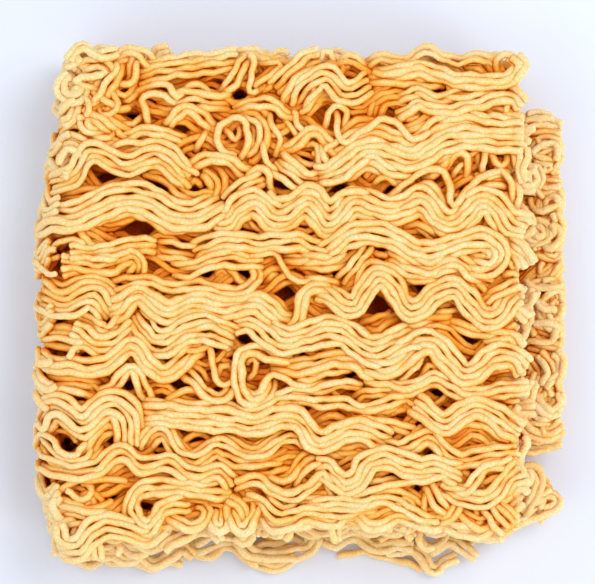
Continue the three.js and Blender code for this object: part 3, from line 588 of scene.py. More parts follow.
# The same for the strands on the ledge of the lower layer, in the corners and at the foot of the front.
LOW_RIBBONS = (
    # ledge on the right
    (11.0, 3, (43, 34.5), (45, 35), (47.4, 35.1), (50.8, 34.6)),
    (11.4, 1, (43.3, 37), (45.5, 37.2), (48, 36.8)),
    (11.2, 1, (45.6, 32.6), (46, 31), (47.6, 31.4), (49.6, 32.6)),
    (10.6, 2, (42.6, 31.6), (45, 33), (48, 33.4), (50.4, 32.4)),
    (11.3, 1, (43.5, 29.8), (46, 29.2), (48.4, 28.6), (49.8, 29.8)),
    (11.5, 1, (44.4, 28), (47.2, 27.9), (48.3, 27), (46.8, 26), (44.4, 26.6)),
    (10.4, 2, (44, 25.5), (47, 25.8), (49.8, 25.2)),
    (10.8, 2, (43, 23.6), (46.4, 23.8), (50.4, 24)),
    (11.3, 1, (44, 22.3), (47, 22.1), (50.6, 22.7)),
    (11.4, 1, (43.5, 21.2), (44.5, 19.5), (46, 18.6), (48, 19), (50.2, 20.3)),
    (10.4, 2, (43, 19), (45, 17.4), (47.4, 16.8), (50.2, 17.8)),
    (11.3, 1, (48.6, 18.2), (50.2, 16.4), (50.4, 14), (49.2, 11.8), (47.8, 12.4), (47.2, 14.8),
     (47.6, 17.2), (48.8, 18)),
    (11.1, 1, (48.7, 16.6), (49.2, 15), (48.8, 13.2)),
    (11.0, 2, (44.4, 15.2), (45, 13), (45.4, 11)),
    (11.2, 1, (44.6, 10.4), (48, 9.8), (51, 10.3)),
    (9.6, 2, (43, 12.6), (46, 11.6), (50.4, 11.4)),
    (10.8, 2, (45.6, 5.4), (48.4, 6.8), (51, 8.4)),
    (11.3, 1, (43, 5.5), (45.5, 3.8), (48, 3.7), (50.6, 4.7)),
    (11.4, 1, (50.6, 1), (49.6, 3.2), (47.6, 3.1), (46.3, 1.2), (46.8, -1.4), (48.8, -2), (50.4, -0.4),
     (50.5, 1.2)),
    (11.1, 1, (49.3, 0.8), (48.2, 1.4), (47.7, 0.2), (48.6, -0.6)),
    (11.0, 1, (43, -2), (46, -3.5), (48.3, -3.2), (49.6, -2.2)),
    (10.8, 3, (43.5, -4.5), (46.6, -6), (50.2, -7)),
    (10.2, 2, (43, -8.2), (47, -8.8), (50.6, -9)),
    (11.3, 2, (45.4, -8.4), (47.2, -10), (47.6, -12.6), (46.4, -15)),
    (11.2, 2, (48.4, -8.2), (49.8, -9.6), (49.4, -12.4), (47.8, -14), (48.8, -16.4)),
    (10.4, 2, (43.6, -10), (44.8, -12), (44.2, -14.6), (45.4, -16.6)),
    (9.4, 3, (43, -12), (46, -13.2), (49.8, -12.4)),
    (11.3, 5, (43.4, -16.4), (43.6, -20), (45, -22.2), (47.3, -22.4), (49.9, -20.8)),
    (11.0, 2, (45.8, -16), (46, -18.4), (47.4, -19), (48.6, -17.2)),
    (11.2, 2, (41.4, -16.8), (41.2, -20), (41.4, -23.2)),
    (9.8, 2, (42.6, -18.4), (43.4, -22.4), (46.2, -24), (49.2, -22.8)),
    (12.0, 1, (41.6, -26.8), (41.9, -28.4), (41.6, -30.2)),
    # front right corner
    (9.0, 2, (35.6, -29), (37.4, -30.8), (39.2, -30.4)),
    (10.4, 2, (42, -30.4), (44.2, -30.7), (45.5, -32.4), (44.9, -34.5), (44, -36.5), (42.3, -38.7)),
    (9.0, 2, (44.8, -37.4), (46.2, -35.2), (48, -35.2), (49, -36.6), (47.4, -38), (44.6, -38.8),
     (42, -40.3), (40, -41.2)),
    (8.2, 2, (40, -33), (42.6, -33.4), (45, -35.4), (48, -37)),
    (7.4, 2, (38, -38), (41.6, -36.8), (44.2, -37.8), (46.6, -40)),
    (7.0, 2, (33.6, -42.6), (36.4, -43), (38.6, -41.4), (41, -39.8)),
    (5.0, 2, (33, -41), (37, -40.8), (40.4, -38.8), (43.4, -38), (46.4, -37)),
    (9.4, 2, (35.6, -40), (35.4, -42.2), (34.4, -44)),
    (2.4, 3, (28, -43.2), (31, -43.2), (34.4, -42), (37.6, -40.2)),
    # front left corner
    (12.6, 2, (-41.4, -45), (-38, -46), (-35, -46.4), (-33, -47.6), (-31, -47.2), (-30, -45.8)),
    (9.0, 1, (-40, -44.6), (-37, -46.8), (-34, -45.4), (-31, -44), (-28, -45.8), (-25, -44.6),
     (-22.4, -43)),
    (6.0, 2, (-39, -44.8), (-37, -47), (-34.6, -47.4), (-33, -45.8), (-31, -45.4), (-29.4, -47.4),
     (-26.6, -48.2), (-24.4, -46.6), (-22, -45.4), (-20, -47)),
    (12.0, 1, (-32.6, -44.6), (-29, -45.2), (-26, -44.6), (-22.6, -44)),
    (2.6, 2, (-44, -45.6), (-41.6, -47.6), (-39, -48), (-36.6, -46.4), (-34, -47.8), (-31.4, -47),
     (-28.6, -48.6), (-25, -47.6), (-22, -48)),
    # skirt on the table
    (3.4, 2, (-21.8, -42.2), (-20.7, -44.1), (-19.6, -46.1), (-17, -46.3), (-14.4, -45), (-12, -45.3),
     (-10, -47), (-7.5, -48)),
    (4.6, 2, (-19.9, -44.3), (-18, -43.1), (-15, -42.4), (-12.3, -42.8), (-10.6, -44.7), (-9, -46.4),
     (-6, -46.8), (-2, -46.7), (1, -46.2), (2.8, -44.7), (3.6, -43.1)),
    (3.0, 1, (-8.6, -45.4), (-6, -44.3), (-3.5, -43.9), (-1, -43.7), (1.2, -44.3)),
    (2.6, 1, (-8, -46.1), (-4, -45.6), (0, -45.1), (2.5, -44.3)),
    (1.4, 2, (-9.2, -47.3), (-7, -48.5), (-4.5, -48.7), (-2, -47.9), (-0.4, -47.1)),
    (4.0, 2, (0.9, -43), (3.4, -42.5), (5.4, -44.3), (7, -44.6), (8.6, -43.4), (10.3, -42.8), (12, -43.3),
     (13.6, -44.7), (16, -45.4), (19, -44.5), (21.6, -44.7)),
    (1.4, 1, (7.3, -47.2), (9.3, -46.4), (12, -45.7), (14.3, -46.5), (17, -47.4), (20.5, -48.1),
     (23.5, -48.9)),
    (5.0, 1, (15, -43.8), (17.4, -42.8), (19.3, -42.5), (20.8, -41.8), (22.3, -42.5), (23.4, -44.3),
     (25, -44.8), (27, -43.9), (28.6, -42.3)),
    (2.4, 2, (16.4, -46), (19.4, -45.8), (22, -45.9), (23.4, -47.1), (24.7, -49.1), (26, -49.4),
     (28, -48.1), (30, -47)),
    (3.6, 2, (24.4, -45.7), (26.8, -44.5), (29, -44.1), (31, -45.5), (33.6, -47.1)),
)

# Tangles of short strands: how many, and the low and high corner of the box their middles lie in
TANGLES = (
    (52, (43.8, -23.6, 9.8), (49.2, 35, 11.5)),
    (18, (-44.5, 31, 22.4), (-31, 46.5, 23.7)),
    (8, (-43.5, 46.5, 20.4), (-24, 48.6, 22)),
    (8, (-12, 40, 21.6), (8, 48, 23)),
    (11, (27, 8, 22.4), (40.5, 24, 23.6)),
    (9, (-46, -46, 21.4), (-34, -36, 23)),
    (10, (-24, -38.4, 21.2), (4, -35.5, 22.6)),
    (26, (9, -39.6, 21.6), (41, -34, 23.4)),
    (9, (36.5, -34, 20.5), (42.5, -22, 23)),
    (8, (12, 26, 21.6), (30, 34, 23)),
    (16, (-30, -42.4, 18.6), (38, -40.2, 21.9)),
    (20, (40.6, -21, 15), (44, 34, 22.5)),
)

# Dark holes between the ribbons of the top: x, y and radius
HOLES = (
    (-30.5, 15.8, 2.6), (-26.6, 23.6, 1.1), (-23.3, 21, 1.1), (-36.8, 25.4, 1.3), (-31.5, 36.9, 1.1),
    (-20.6, 35.4, 1.2), (-11.2, 41.2, 1.5), (-8.2, 29, 0.8), (1, 28.4, 1.1), (-2.7, 24, 1.4),
    (7.8, 23.4, 1.2), (17.8, 23.6, 1.0), (13.4, 26.8, 0.7), (23, 34.6, 1.2), (26.9, 29.4, 1.3),
    (11.5, 35.6, 1.4), (38.4, 38.2, 0.9), (0.8, 15.4, 1.6), (-9.2, 15.2, 1.6), (4.8, 12.6, 0.9),
    (-10.6, 7.2, 1.0), (-18, 7, 0.8), (-2.8, 3.2, 1.9), (-35.6, 5.6, 1.3), (8, 7.2, 1.1),
    (15.6, 10.6, 1.3), (24, 4.8, 1.2), (14.6, 1, 2.4), (35.6, 17, 1.6), (36, 0.6, 1.2), (28, -4.8, 1.3),
    (32, -5.6, 1.1), (-22.4, -14, 1.5), (-10.4, -5.6, 1.1), (-13, -9.8, 1.1), (-16, -7.8, 0.8),
    (25.4, -28, 1.3), (11, -29, 1.2), (-20, -25, 1.2), (-12, -25.2, 0.9), (-35, -24.8, 1.1),
    (-34, -29.4, 0.9), (-32, -14.4, 1.2), (-40.4, -9, 1.0), (-44, -25.6, 1.4), (6, -7.6, 1.0),
    (10, -12.2, 0.9), (36.4, -8, 0.9), (26.6, -15.6, 1.0), (34, -16, 0.9), (34.4, -24.4, 1.1),
    (22.6, -22.2, 1.0), (30.6, -21.4, 0.7), (17.6, -31, 1.1), (22, -34.4, 1.0), (23.6, -37.4, 0.9),
    (29, -36.2, 0.8), (32.4, -38.4, 0.9), (29, -42, 0.8), (33.6, -30, 0.8), (-29.4, -37.2, 0.8),
    (-43.4, -42.8, 1.1), (-35.6, -35, 1.0), (-26, -42, 0.9), (-4, -33.4, 0.9), (-4, -30.4, 0.8),
    (-24, 31, 0.5),
)

# Ribbons of the fold's skin, between those of the top that go round it: middle on Y and number of strands
FOLD_ROWS = (
    (47, 3), (43, 3), (39.4, 2), (31.4, 3), (27.6, 2), (20.4, 3), (11.6, 4), (8.6, 1), (-1.4, 4),
    (-9.4, 1), (-14.6, 5), (-34, 4), (-39, 4), (-43, 2),
)

# Depths under the skin, in millimetres, of the levels of strands
WHOLE_DEPTHS = (3.3, 4.9, 6.5)
MARGIN_DEPTHS = (8.1, 9.6, 11.1)
MARGIN = 8.5  # how wide the margins are that the deeper levels have strands in

# Half of the cells round a cell, and the cell itself, so that each pair of cells is met once
HALF_NEIGHBOURS = [(0, 0, 0)] + [
    (dx, dy, dz) for dx in (-1, 0, 1) for dy in (-1, 0, 1) for dz in (-1, 0, 1) if (dx, dy, dz) > (0, 0, 0)
]


@dataclass
class Strand:
    """One noodle strand: its places in mm, the way out of the block at each, and how it is treated."""

    places: np.ndarray
    outward: np.ndarray
    piece: str
    hold: float


# --------------------------------------------------------------------------------------------------
# Curves


def length_along(curve):
    """How far along a curve each of its places is."""
    return np.concatenate([[0], np.cumsum(np.linalg.norm(np.diff(curve, axis=0), axis=1))])


def resampled(curve, step, values=None):
    """The same curve, or values given along it, with places an even step apart."""
    along = length_along(curve)
    count = max(int(round(along[-1] / step)), 3)
    even = np.linspace(0, along[-1], count + 1)
    columns = curve.T if values is None else values.T
    return np.stack([np.interp(even, along, column) for column in columns], axis=1)


def curve_through(knots, step):
    """A smooth curve through some places (Catmull-Rom)."""
    knots = np.array(knots, float)
    padded = np.vstack([2 * knots[0] - knots[1], knots, 2 * knots[-1] - knots[-2]])
    share = np.linspace(0, 1, 12, endpoint=False)[:, None]
    runs = []
    for before, start, end, after in zip(padded, padded[1:], padded[2:], padded[3:]):
        square = 2 * before - 5 * start + 4 * end - after
        cube = 3 * start - before - 3 * end + after
        runs.append(0.5 * (2 * start + (end - before) * share + square * share**2 + cube * share**3))
    return resampled(np.vstack(runs + [knots[-1:]]), step)


def smoothed(values, reach):
    """Values along a curve, blurred over a reach given in steps."""
    half = max(int(3 * reach), 1)
    kernel = np.exp(-0.5 * (np.arange(-half, half + 1) / max(reach, 0.3)) ** 2)
    kernel /= kernel.sum()
    padded = np.pad(values, ((half, half), (0, 0)), mode="edge")
    return np.stack([np.convolve(column, kernel, mode="valid") for column in padded.T], axis=1)


def unit(vectors):
    """Vectors of length 1 the same way."""
    return vectors / np.maximum(np.linalg.norm(vectors, axis=1, keepdims=True), 1e-9)


def drift(along, draw, size, reach=11.0):
    """A slow, uneven swing along a strand."""
    turns = draw.uniform(0, 1, 3)
    long_wave = np.sin(2 * np.pi * (along / reach + turns[0]))
    short_wave = np.sin(2 * np.pi * (along / (0.43 * reach) + turns[1]))
    return size * (0.6 * (long_wave + 0.7 * short_wave) + 0.5 * math.sin(2 * math.pi * turns[2]))


def smoothstep(value, start, end):
    """From 0 to 1 as a value goes from start to end, with a soft start and finish."""
    share = np.clip((value - start) / (end - start), 0, 1)
    return share * share * (3 - 2 * share)


# --------------------------------------------------------------------------------------------------
# The folded sheet


def fold_run_in(y):
    """How far the fold stands back at its two corners."""
    back = np.clip((y - RUN_IN_BACK) / (BACK_EDGE - RUN_IN_BACK), 0, 1)
    return FOLD_RUN_IN * back + FRONT_RUN_IN * smoothstep(-y, *RUN_IN_FRONT)


def section(depth):
    """The sheet's section at a depth under its skin: from the upper right end, round the fold, to the lower
    right end. Columns: x, z, outward x, outward z, and how far along."""
    turn = np.linspace(0, np.pi, 121)
    power = 2 / FOLD_SQUARENESS
    reach_x = max(FOLD_REACH - depth, 1.0)
    reach_z = HALF_HEIGHT - depth
    fold_x = FOLD_MIDDLE - reach_x * np.abs(np.sin(turn)) ** power
    fold_z = HALF_HEIGHT + reach_z * np.sign(np.cos(turn)) * np.abs(np.cos(turn)) ** power
    x = np.concatenate([[UPPER_END], fold_x, [LOWER_END]])
    z = np.concatenate([[BLOCK_HEIGHT - depth], fold_z, [depth]])
    line = np.stack([x, z], axis=1)
    ahead = unit(np.gradient(line, axis=0))
    return np.column_stack([x, z, ahead[:, 1], -ahead[:, 0], length_along(line)])


def front_step(x, y):
    """How far a strand near the front stands back: not in the left corner, and less in the right one."""
    near_front = np.clip((FRONT_STEP_FROM - y) / FRONT_STEP_OVER, 0, 1)
    share = smoothstep(x, *FRONT_STEP_LEFT) - FRONT_STEP_LOSS * smoothstep(x, *FRONT_STEP_RIGHT)
    return FRONT_STEP * near_front * share


def on_sheet(shape, along, y, lift):
    """Places on the sheet, lifted off it outwards, and the way out there."""
    x, z, out_x, out_z = (np.interp(along, shape[:, 4], shape[:, column]) for column in range(4))
    folded = np.clip((FOLD_MIDDLE - x) / FOLD_REACH, 0, 1)
    x = x + folded * fold_run_in(y)
    outward = unit(np.stack([out_x, np.zeros_like(out_x), out_z], axis=1))
    places = np.stack([x, y, z], axis=1) + lift[:, None] * outward
    places[:, 1] += front_step(places[:, 0], places[:, 1])
    return places, outward


def lower_reach(y):
    """How far the lower layer reaches to the right: less in the notch, the front corner and the back."""
    notch = NOTCH_REACH * np.exp(-(((y - NOTCH_MIDDLE) / NOTCH_HALF) ** 4))
    back_step = BACK_STEP * smoothstep(y, *BACK_STEP_AT)
    worn_corner = CORNER_SLOPE * np.clip(CORNER_START - y, 0, None)
    return LOWER_END - notch - back_step - worn_corner


def lower_end_along(shape, y):
    """How far along a section the lower layer ends at a place on Y."""
    return shape[-1, 4] - (LOWER_END - lower_reach(np.array([y]))[0])


# --------------------------------------------------------------------------------------------------
# Ribbons drawn one by one


def down_the_sight_line(seen, z):
    """Where a strand lies at height z that is drawn as the camera sees it against the level of the top."""
    eye_y = CAMERA_TARGET[1] - CAMERA_DISTANCE * math.sin(CAMERA_TILT)
    eye_z = BLOCK_HEIGHT + CAMERA_DISTANCE * math.cos(CAMERA_TILT)
    stretch = (eye_z - z) / (eye_z - BLOCK_HEIGHT)
    x = CAMERA_TARGET[0] + (seen[:, 0] - CAMERA_TARGET[0]) * stretch
    y = eye_y + (seen[:, 1] - eye_y) * stretch
    return np.stack([x, y, z], axis=1)


def stacked(path, count, draw):
    """The strands of a ribbon, side by side along a flat path, how far each is from the ribbon's middle, and
    how far along the ribbon its places are."""
    length = STEP * len(path)
    reach = min(STACK_SMOOTHING, length / 7) / STEP
    ahead = unit(smoothed(np.gradient(path, axis=0), reach))
    aside = np.stack([-ahead[:, 1], ahead[:, 0]], axis=1)
    along = STEP * np.arange(len(path))
    for number in range(count):
        off = (number - (count - 1) / 2) * PITCH
        stray = drift(along, draw, WANDER) + drift(along, draw, KINK, KINK_REACH)
        first = int(draw.uniform(0, END_STAGGER) / STEP) if count > 1 else 0
        yield (path + aside * (off + stray)[:, None])[first:], off, along[first:]


def drawn_ribbon(height, count, knots, draw, piece, hold=DRAWN_HOLD):
    """Strands of a ribbon drawn as a list of knots at a height."""
    path = curve_through(knots, STEP)
    tilt = draw.uniform(-RIBBON_TILT, RIBBON_TILT)
    upward = np.array([0.0, 0, 1])
    strands = []
    for line, off, along in stacked(path, count, draw):
        z = height + tilt * off + draw.uniform(-HEIGHT_SPREAD, HEIGHT_SPREAD)
        z += drift(along, draw, RISE, RISE_REACH)
        z -= tucked_in(line) * DIVE
        outward = np.tile(upward, (len(line), 1))
        strands.append(Strand(down_the_sight_line(line, z), outward, piece, hold))
    return strands


def tucked_in(line):
    """How far along each place of a strand has dived under its neighbours, from 0 to 1: only close to its
    ends, and not at the edges of the block, where ends show."""
    steps = np.arange(len(line))
    at_end = np.exp(-np.minimum(steps, steps[::-1]) * STEP / DIVE_LENGTH)
    x, y = line.T
    from_edge = np.minimum.reduce([DIVE_SIDE - np.abs(x), y - DIVE_FRONT, DIVE_BACK - y])
    return at_end * smoothstep(from_edge, 0, 2)


def round_the_fold(strand, draw):
    """Bend the part of a top strand that goes past the edge down over the fold, and lead it on."""
    shape = section(BLOCK_HEIGHT - strand.places[0, 2])
    half = len(shape) // 2
    seen_x, seen_y = strand.places[:, 0], strand.places[:, 1]
    folded = np.clip((FOLD_MIDDLE - seen_x) / FOLD_REACH, 0, 1)
    x = seen_x - folded * fold_run_in(seen_y)
    along = np.interp(-x, -shape[: half + 1, 0], shape[: half + 1, 4])
    lead_end = shape[-1, 4] - (LOWER_END - FOLD_MIDDLE) - draw.uniform(*LEAD_END_SPREAD)
    lead = np.arange(along[0] + STEP, lead_end, STEP)[::-1]
    if len(lead) > 3:
        wave = LEAD_WAVE * np.sin(2 * np.pi * (lead - along[0]) / LEAD_WAVE_LENGTH)
        y = seen_y[0] + wave + drift(lead, draw, 0.3)
        along = np.concatenate([lead, along])
        y = np.concatenate([y, seen_y])
    else:
        y = seen_y
    places, outward = on_sheet(shape, along, y, np.zeros(len(along)))
    places[:, 1] = y
    kept = len(strand.places)
    flat = seen_x > FOLD_MIDDLE - LEAD_FLAT
    places[-kept:][flat] = strand.places[flat]
    outward = unit(resampled(places, STEP, outward))
    return Strand(resampled(places, STEP), outward, strand.piece, strand.hold)


def top_strands(draw):
    """The ribbons of the top, each strand from left to right. Those that reach past its left edge are led
    round the fold."""
    strands = []
    for height, count, *knots in TOP_RIBBONS:
        for strand in drawn_ribbon(height, count, knots, draw, "noodle_top"):
            if strand.places[-1, 0] < strand.places[0, 0]:
                strand.places = strand.places[::-1]
                strand.outward = strand.outward[::-1]
            if strand.places[0, 0] < FOLD_START - FOLD_OVERHANG:
                strand = round_the_fold(strand, draw)
            strands.append(strand)
    return strands


def low_strands(draw):
    """The loose strands at the foot of the front side, and those of the ledge on the right, which has a
    second level of the same curls, mirrored."""
    strands = []
    for height, count, *knots in LOW_RIBBONS:
        strands += drawn_ribbon(height, count, knots, draw, "noodle_ledge_and_skirt")
        if min(x for x, y in knots) > LEDGE_START and min(y for x, y in knots) > NOTCH_BACK:
            below = [(x - LEDGE_SHIFT, LEDGE_TURN - y) for x, y in knots]
            strands += drawn_ribbon(height - LEDGE_LEVEL, count, below, draw, "noodle_ledge_and_skirt")
    return strands


def tangled_strands(draw):
    """Short strands that curl about in the tangles between the ribbons."""
    strands = []
    for count, low, high in TANGLES:
        low, high = np.array(low), np.array(high)
        for number in range(count):
            *middle, height = draw.uniform(low, high)
            knots = curl(middle, draw)
            knots += np.maximum(low[:2] - TANGLE_RIM - knots.min(axis=0), 0)
            knots -= np.maximum(knots.max(axis=0) - high[:2] - TANGLE_RIM, 0)
            strands += drawn_ribbon(height, int(draw.integers(1, 3)), knots, draw, "noodle_tangles")
    return strands


def curl(middle, draw):
    """Knots of a short strand that curls about a place."""
    steps = int(draw.integers(*CURL_KNOTS))
    bend = draw.choice((-1, 1)) * draw.uniform(*CURL_BEND)
    heading = draw.uniform(0, 2 * np.pi) + np.cumsum(bend + draw.normal(0, CURL_UNEVENNESS, steps))
    knots = np.cumsum(CURL_STEP * np.stack([np.cos(heading), np.sin(heading)], axis=1), axis=0)
    return middle + knots - knots.mean(axis=0)


def underside_strands(draw):
    """The underside has the same kinds of ribbons as the top, turned half round and upside down."""
    strands = []
    for height, count, *knots in TOP_RIBBONS:
        turned = [(-x, UNDERSIDE_SHIFT - y) for x, y in knots]
        for strand in drawn_ribbon(height, count, turned, draw, "noodle_underside", UNDERSIDE_HOLD):
            strand.places[:, 2] = BLOCK_HEIGHT - strand.places[:, 2]
            strand.places[:, :2] *= UNDERSIDE_SCALE
            strand.places[:, 1] += front_step(strand.places[:, 0], strand.places[:, 1])
            strand.outward = -strand.outward
            strands += within_reach([strand])
    return strands


def within_reach(strands):
    """What is left of strands up to where the lower layer ends."""
    parts = []
    for strand in strands:
        kept = strand.places[:, 0] < lower_reach(strand.places[:, 1])
        edges = np.flatnonzero(np.diff(np.concatenate([[0], kept.astype(int), [0]])))
        for start, end in edges.reshape(-1, 2):
            if end - start > 4:
                places, outward = strand.places[start:end], strand.outward[start:end]
                parts.append(Strand(places, outward, strand.piece, strand.hold))
    return parts


# --------------------------------------------------------------------------------------------------
# Ribbons laid out by formula


def wavy_ribbon(shape, start, end, y_middle, count, draw, piece, step, hold=INNER_HOLD):
    """Strands that wave side by side along the folded sheet."""
    lift = draw.uniform(-LEVEL_SPREAD, LEVEL_SPREAD)
    along = np.arange(start, end, step)
    if len(along) < 4:
        return []
    length = draw.uniform(*WAVE_LENGTH)
    height = draw.uniform(*WAVE_HEIGHT)
    turn = along / length + draw.uniform(0, 1)
    share, over = WAVE_UNEVENNESS
    turn = turn + share * np.sin(2 * np.pi * (along / over + draw.uniform(0, 1)))
    wave = height * np.sin(2 * np.pi * turn) + drift(along, draw, *SIDEWAYS_SWING)
    rise = drift(along, draw, *RIBBON_SWING)
    tilt = draw.uniform(-LAID_TILT, LAID_TILT)
    strands = []
    for number in range(count):
        off = (number - (count - 1) / 2) * PITCH
        y = y_middle + wave + off + drift(along, draw, WANDER) + drift(along, draw, KINK, KINK_REACH)
        first, last = draw.integers(0, 3, 2)
        own = slice(first, len(along) - last)
        own_rise = rise + drift(along, draw, *STRAND_SWING)
        places, outward = on_sheet(shape, along[own], y[own], (lift + own_rise + tilt * off)[own])
        strands.append(Strand(places, outward, piece, hold))
    return strands


def rows(front, back, draw):
    """Middles and strand counts of ribbons that fill a stretch of Y side by side."""
    y = front
    while y < back - PITCH:
        count = min(int(draw.integers(*RIBBON_STRANDS)), max(int((back - y) / PITCH), 1))
        width = count * PITCH
        yield y + width / 2, count
        y += width + draw.uniform(0, RIBBON_GAP)


def margin_ribbon(shape, start, end, y, count, draw, piece):
    """A deep ribbon in the margins of the sheet, which is held a little more firmly."""
    return wavy_ribbon(shape, start, end, y, count, draw, piece, DEEP_STEP, MARGIN_HOLD)


def inner_strands(draw):
    """The sheet under its skin: whole near the skin, and only its margins deeper down."""
    strands = []
    for depth in WHOLE_DEPTHS:
        shape = section(depth)
        for y, count in rows(FRONT_EDGE + 1, BACK_EDGE - 1, draw):
            end = lower_end_along(shape, y)
            bend = 0.5 * (shape[-1, 4] - (LOWER_END - UPPER_END))
            meet = bend + draw.uniform(-MEET_SPREAD, MEET_SPREAD)
            strands += wavy_ribbon(shape, SHEET_START, meet, y, count, draw, "noodle_inner_top", DEEP_STEP)
            base = wavy_ribbon(shape, meet + 1, end, y, count, draw, "noodle_inner_base", DEEP_STEP)
            strands += within_reach(base)
    for depth in MARGIN_DEPTHS:
        shape = section(depth)
        for front, back in ((FRONT_EDGE, FRONT_EDGE + MARGIN), (BACK_EDGE - MARGIN, BACK_EDGE)):
            for y, count in rows(front, back, draw):
                end = lower_end_along(shape, y)
                side = margin_ribbon(shape, SHEET_START, end, y, count, draw, "noodle_sides")
                strands += within_reach(side)
        for y, count in rows(FRONT_EDGE + MARGIN, BACK_EDGE - MARGIN, draw):
            reach = MARGIN + draw.uniform(0, COMB_SPREAD)
            strands += margin_ribbon(shape, COMB_START, reach, y, count, draw, "noodle_ends")
            if depth < LEDGE_COMB_TOP:
                end = lower_end_along(shape, y)
                start = end - reach - COMB_EXTRA
                strands += within_reach(margin_ribbon(shape, start, end, y, count, draw, "noodle_ends"))
    return strands


def fold_strands(draw):
    """The skin of the fold, between the ribbons of the top that go round it."""
    strands = []
    shape = section(FOLD_SKIN_DEPTH)
    half = len(shape) // 2
    for y, count in FOLD_ROWS:
        start = np.interp(-(FOLD_START - draw.uniform(-1, 2)), -shape[: half + 1, 0], shape[: half + 1, 4])
        end = shape[-1, 4] - (LOWER_END - FOLD_MIDDLE) + draw.uniform(-3, 3)
        strands += wavy_ribbon(shape, start, end, y, count, draw, "noodle_fold", STEP)
    return strands


# --------------------------------------------------------------------------------------------------
# Strands push each other apart


def near_pairs(places, owner, order, reach):
    """Numbers of the places closer than reach to each other, apart from neighbours on one strand."""
    cell = np.floor(places / reach).astype(np.int64)
    cell -= cell.min(axis=0) - 1
    size = cell.max(axis=0) + 2
    key = (cell[:, 0] * size[1] + cell[:, 1]) * size[2] + cell[:, 2]
    by_key = np.argsort(key, kind="stable")
    sorted_key = key[by_key]
    firsts, seconds = [], []
    for dx, dy, dz in HALF_NEIGHBOURS:
        wanted = key + (dx * size[1] + dy) * size[2] + dz
        start = np.searchsorted(sorted_key, wanted, "left")
        count = np.searchsorted(sorted_key, wanted, "right") - start
        first = np.repeat(np.arange(len(key)), count)
        inside = np.arange(len(first)) - np.repeat(np.cumsum(count) - count, count)
        firsts.append(first)
        seconds.append(by_key[np.repeat(start, count) + inside])
    first, second = np.concatenate(firsts), np.concatenate(seconds)
    own_cell = key[first] == key[second]
    apart = (owner[first] != owner[second]) | (np.abs(order[first] - order[second]) > 3)
    close = np.sum((places[first] - places[second]) ** 2, axis=1) < reach**2
    kept = close & apart & (~own_cell | (first < second))
    return first[kept], second[kept]


def relax(strands, rounds):
    """Push strands apart where they run through each other, while each is drawn back to its own shape and
    place. Crowded strands still overlap after the last round."""
    counts = [len(strand.places) for strand in strands]
    places = np.vstack([strand.places for strand in strands])
    owner = np.repeat(np.arange(len(strands)), counts)
    order = np.concatenate([np.arange(count) for count in counts])
    hold = np.repeat([strand.hold for strand in strands], counts)[:, None] * np.array(HOLD_AXES)
    inner = np.flatnonzero((owner[1:-1] == owner[:-2]) & (owner[1:-1] == owner[2:])) + 1
    start = places.copy()
    bend = places[inner] - 0.5 * (places[inner - 1] + places[inner + 1])
    contact = 2 * STRAND_RADIUS * CONTACT
    for turn in range(rounds):
        if turn % PAIRS_KEPT == 0:
            first, second = near_pairs(places, owner, order, contact + PAIR_MARGIN)
        between = places[first] - places[second]
        distance = np.maximum(np.linalg.norm(between, axis=1), 0.02)
        push = (PUSH * np.clip(contact - distance, 0, None) / distance)[:, None] * between
        move = np.empty_like(places)
        for axis in range(3):
            move[:, axis] = np.bincount(first, push[:, axis], len(places))
            move[:, axis] -= np.bincount(second, push[:, axis], len(places))
        places += np.clip(move, -LARGEST_MOVE, LARGEST_MOVE)
        places += hold * (start - places)
        straight = 0.5 * (places[inner - 1] + places[inner + 1]) + bend
        places[inner] += STIFFNESS * (straight - places[inner])
        clear_holes(places, start)
        places[:, 2] = np.clip(places[:, 2], TABLE_CLEARANCE * STRAND_RADIUS, BLOCK_HEIGHT - STRAND_RADIUS)
        places[:, 0] -= RIGHT_PULL * np.clip(places[:, 0] - RIGHT_END, 0, None)
    parts = np.split(places, np.cumsum(counts)[:-1])
    for strand, part in zip(strands, parts):
        strand.places = part


def clear_holes(places, start):
    """Keep the deeper strands out of the dark holes between the ribbons of the top."""
    deep = np.flatnonzero((start[:, 2] > HOLE_BOTTOM) & (start[:, 2] < BLOCK_HEIGHT - HOLE_LIP))
    for x, y, radius in HOLES:
        aside = places[deep, :2] - (x, y)
        distance = np.maximum(np.linalg.norm(aside, axis=1), 0.1)
        push = HOLE_PUSH * np.clip(radius + HOLE_RIM - distance, 0, None)
        places[deep, :2] += aside * (push / distance)[:, None]


# --------------------------------------------------------------------------------------------------
# Meshes


def past_upper_end(x):
    """From 0 to 1, how far places on X lie past the end of the upper layer."""
    return smoothstep(x, UPPER_END - 0.5, UPPER_END + 0.5)


def looseness(places):
    """From 0 to 1, how far places lie outside the upper layer: on the ledge, or on the skirt at the front."""
    x, y, z = places.T
    before_front = smoothstep(FRONT_EDGE + front_step(x, y) - y, -3, 0)
    return np.maximum(past_upper_end(x), before_front) * (z < LAYER_SPLIT)


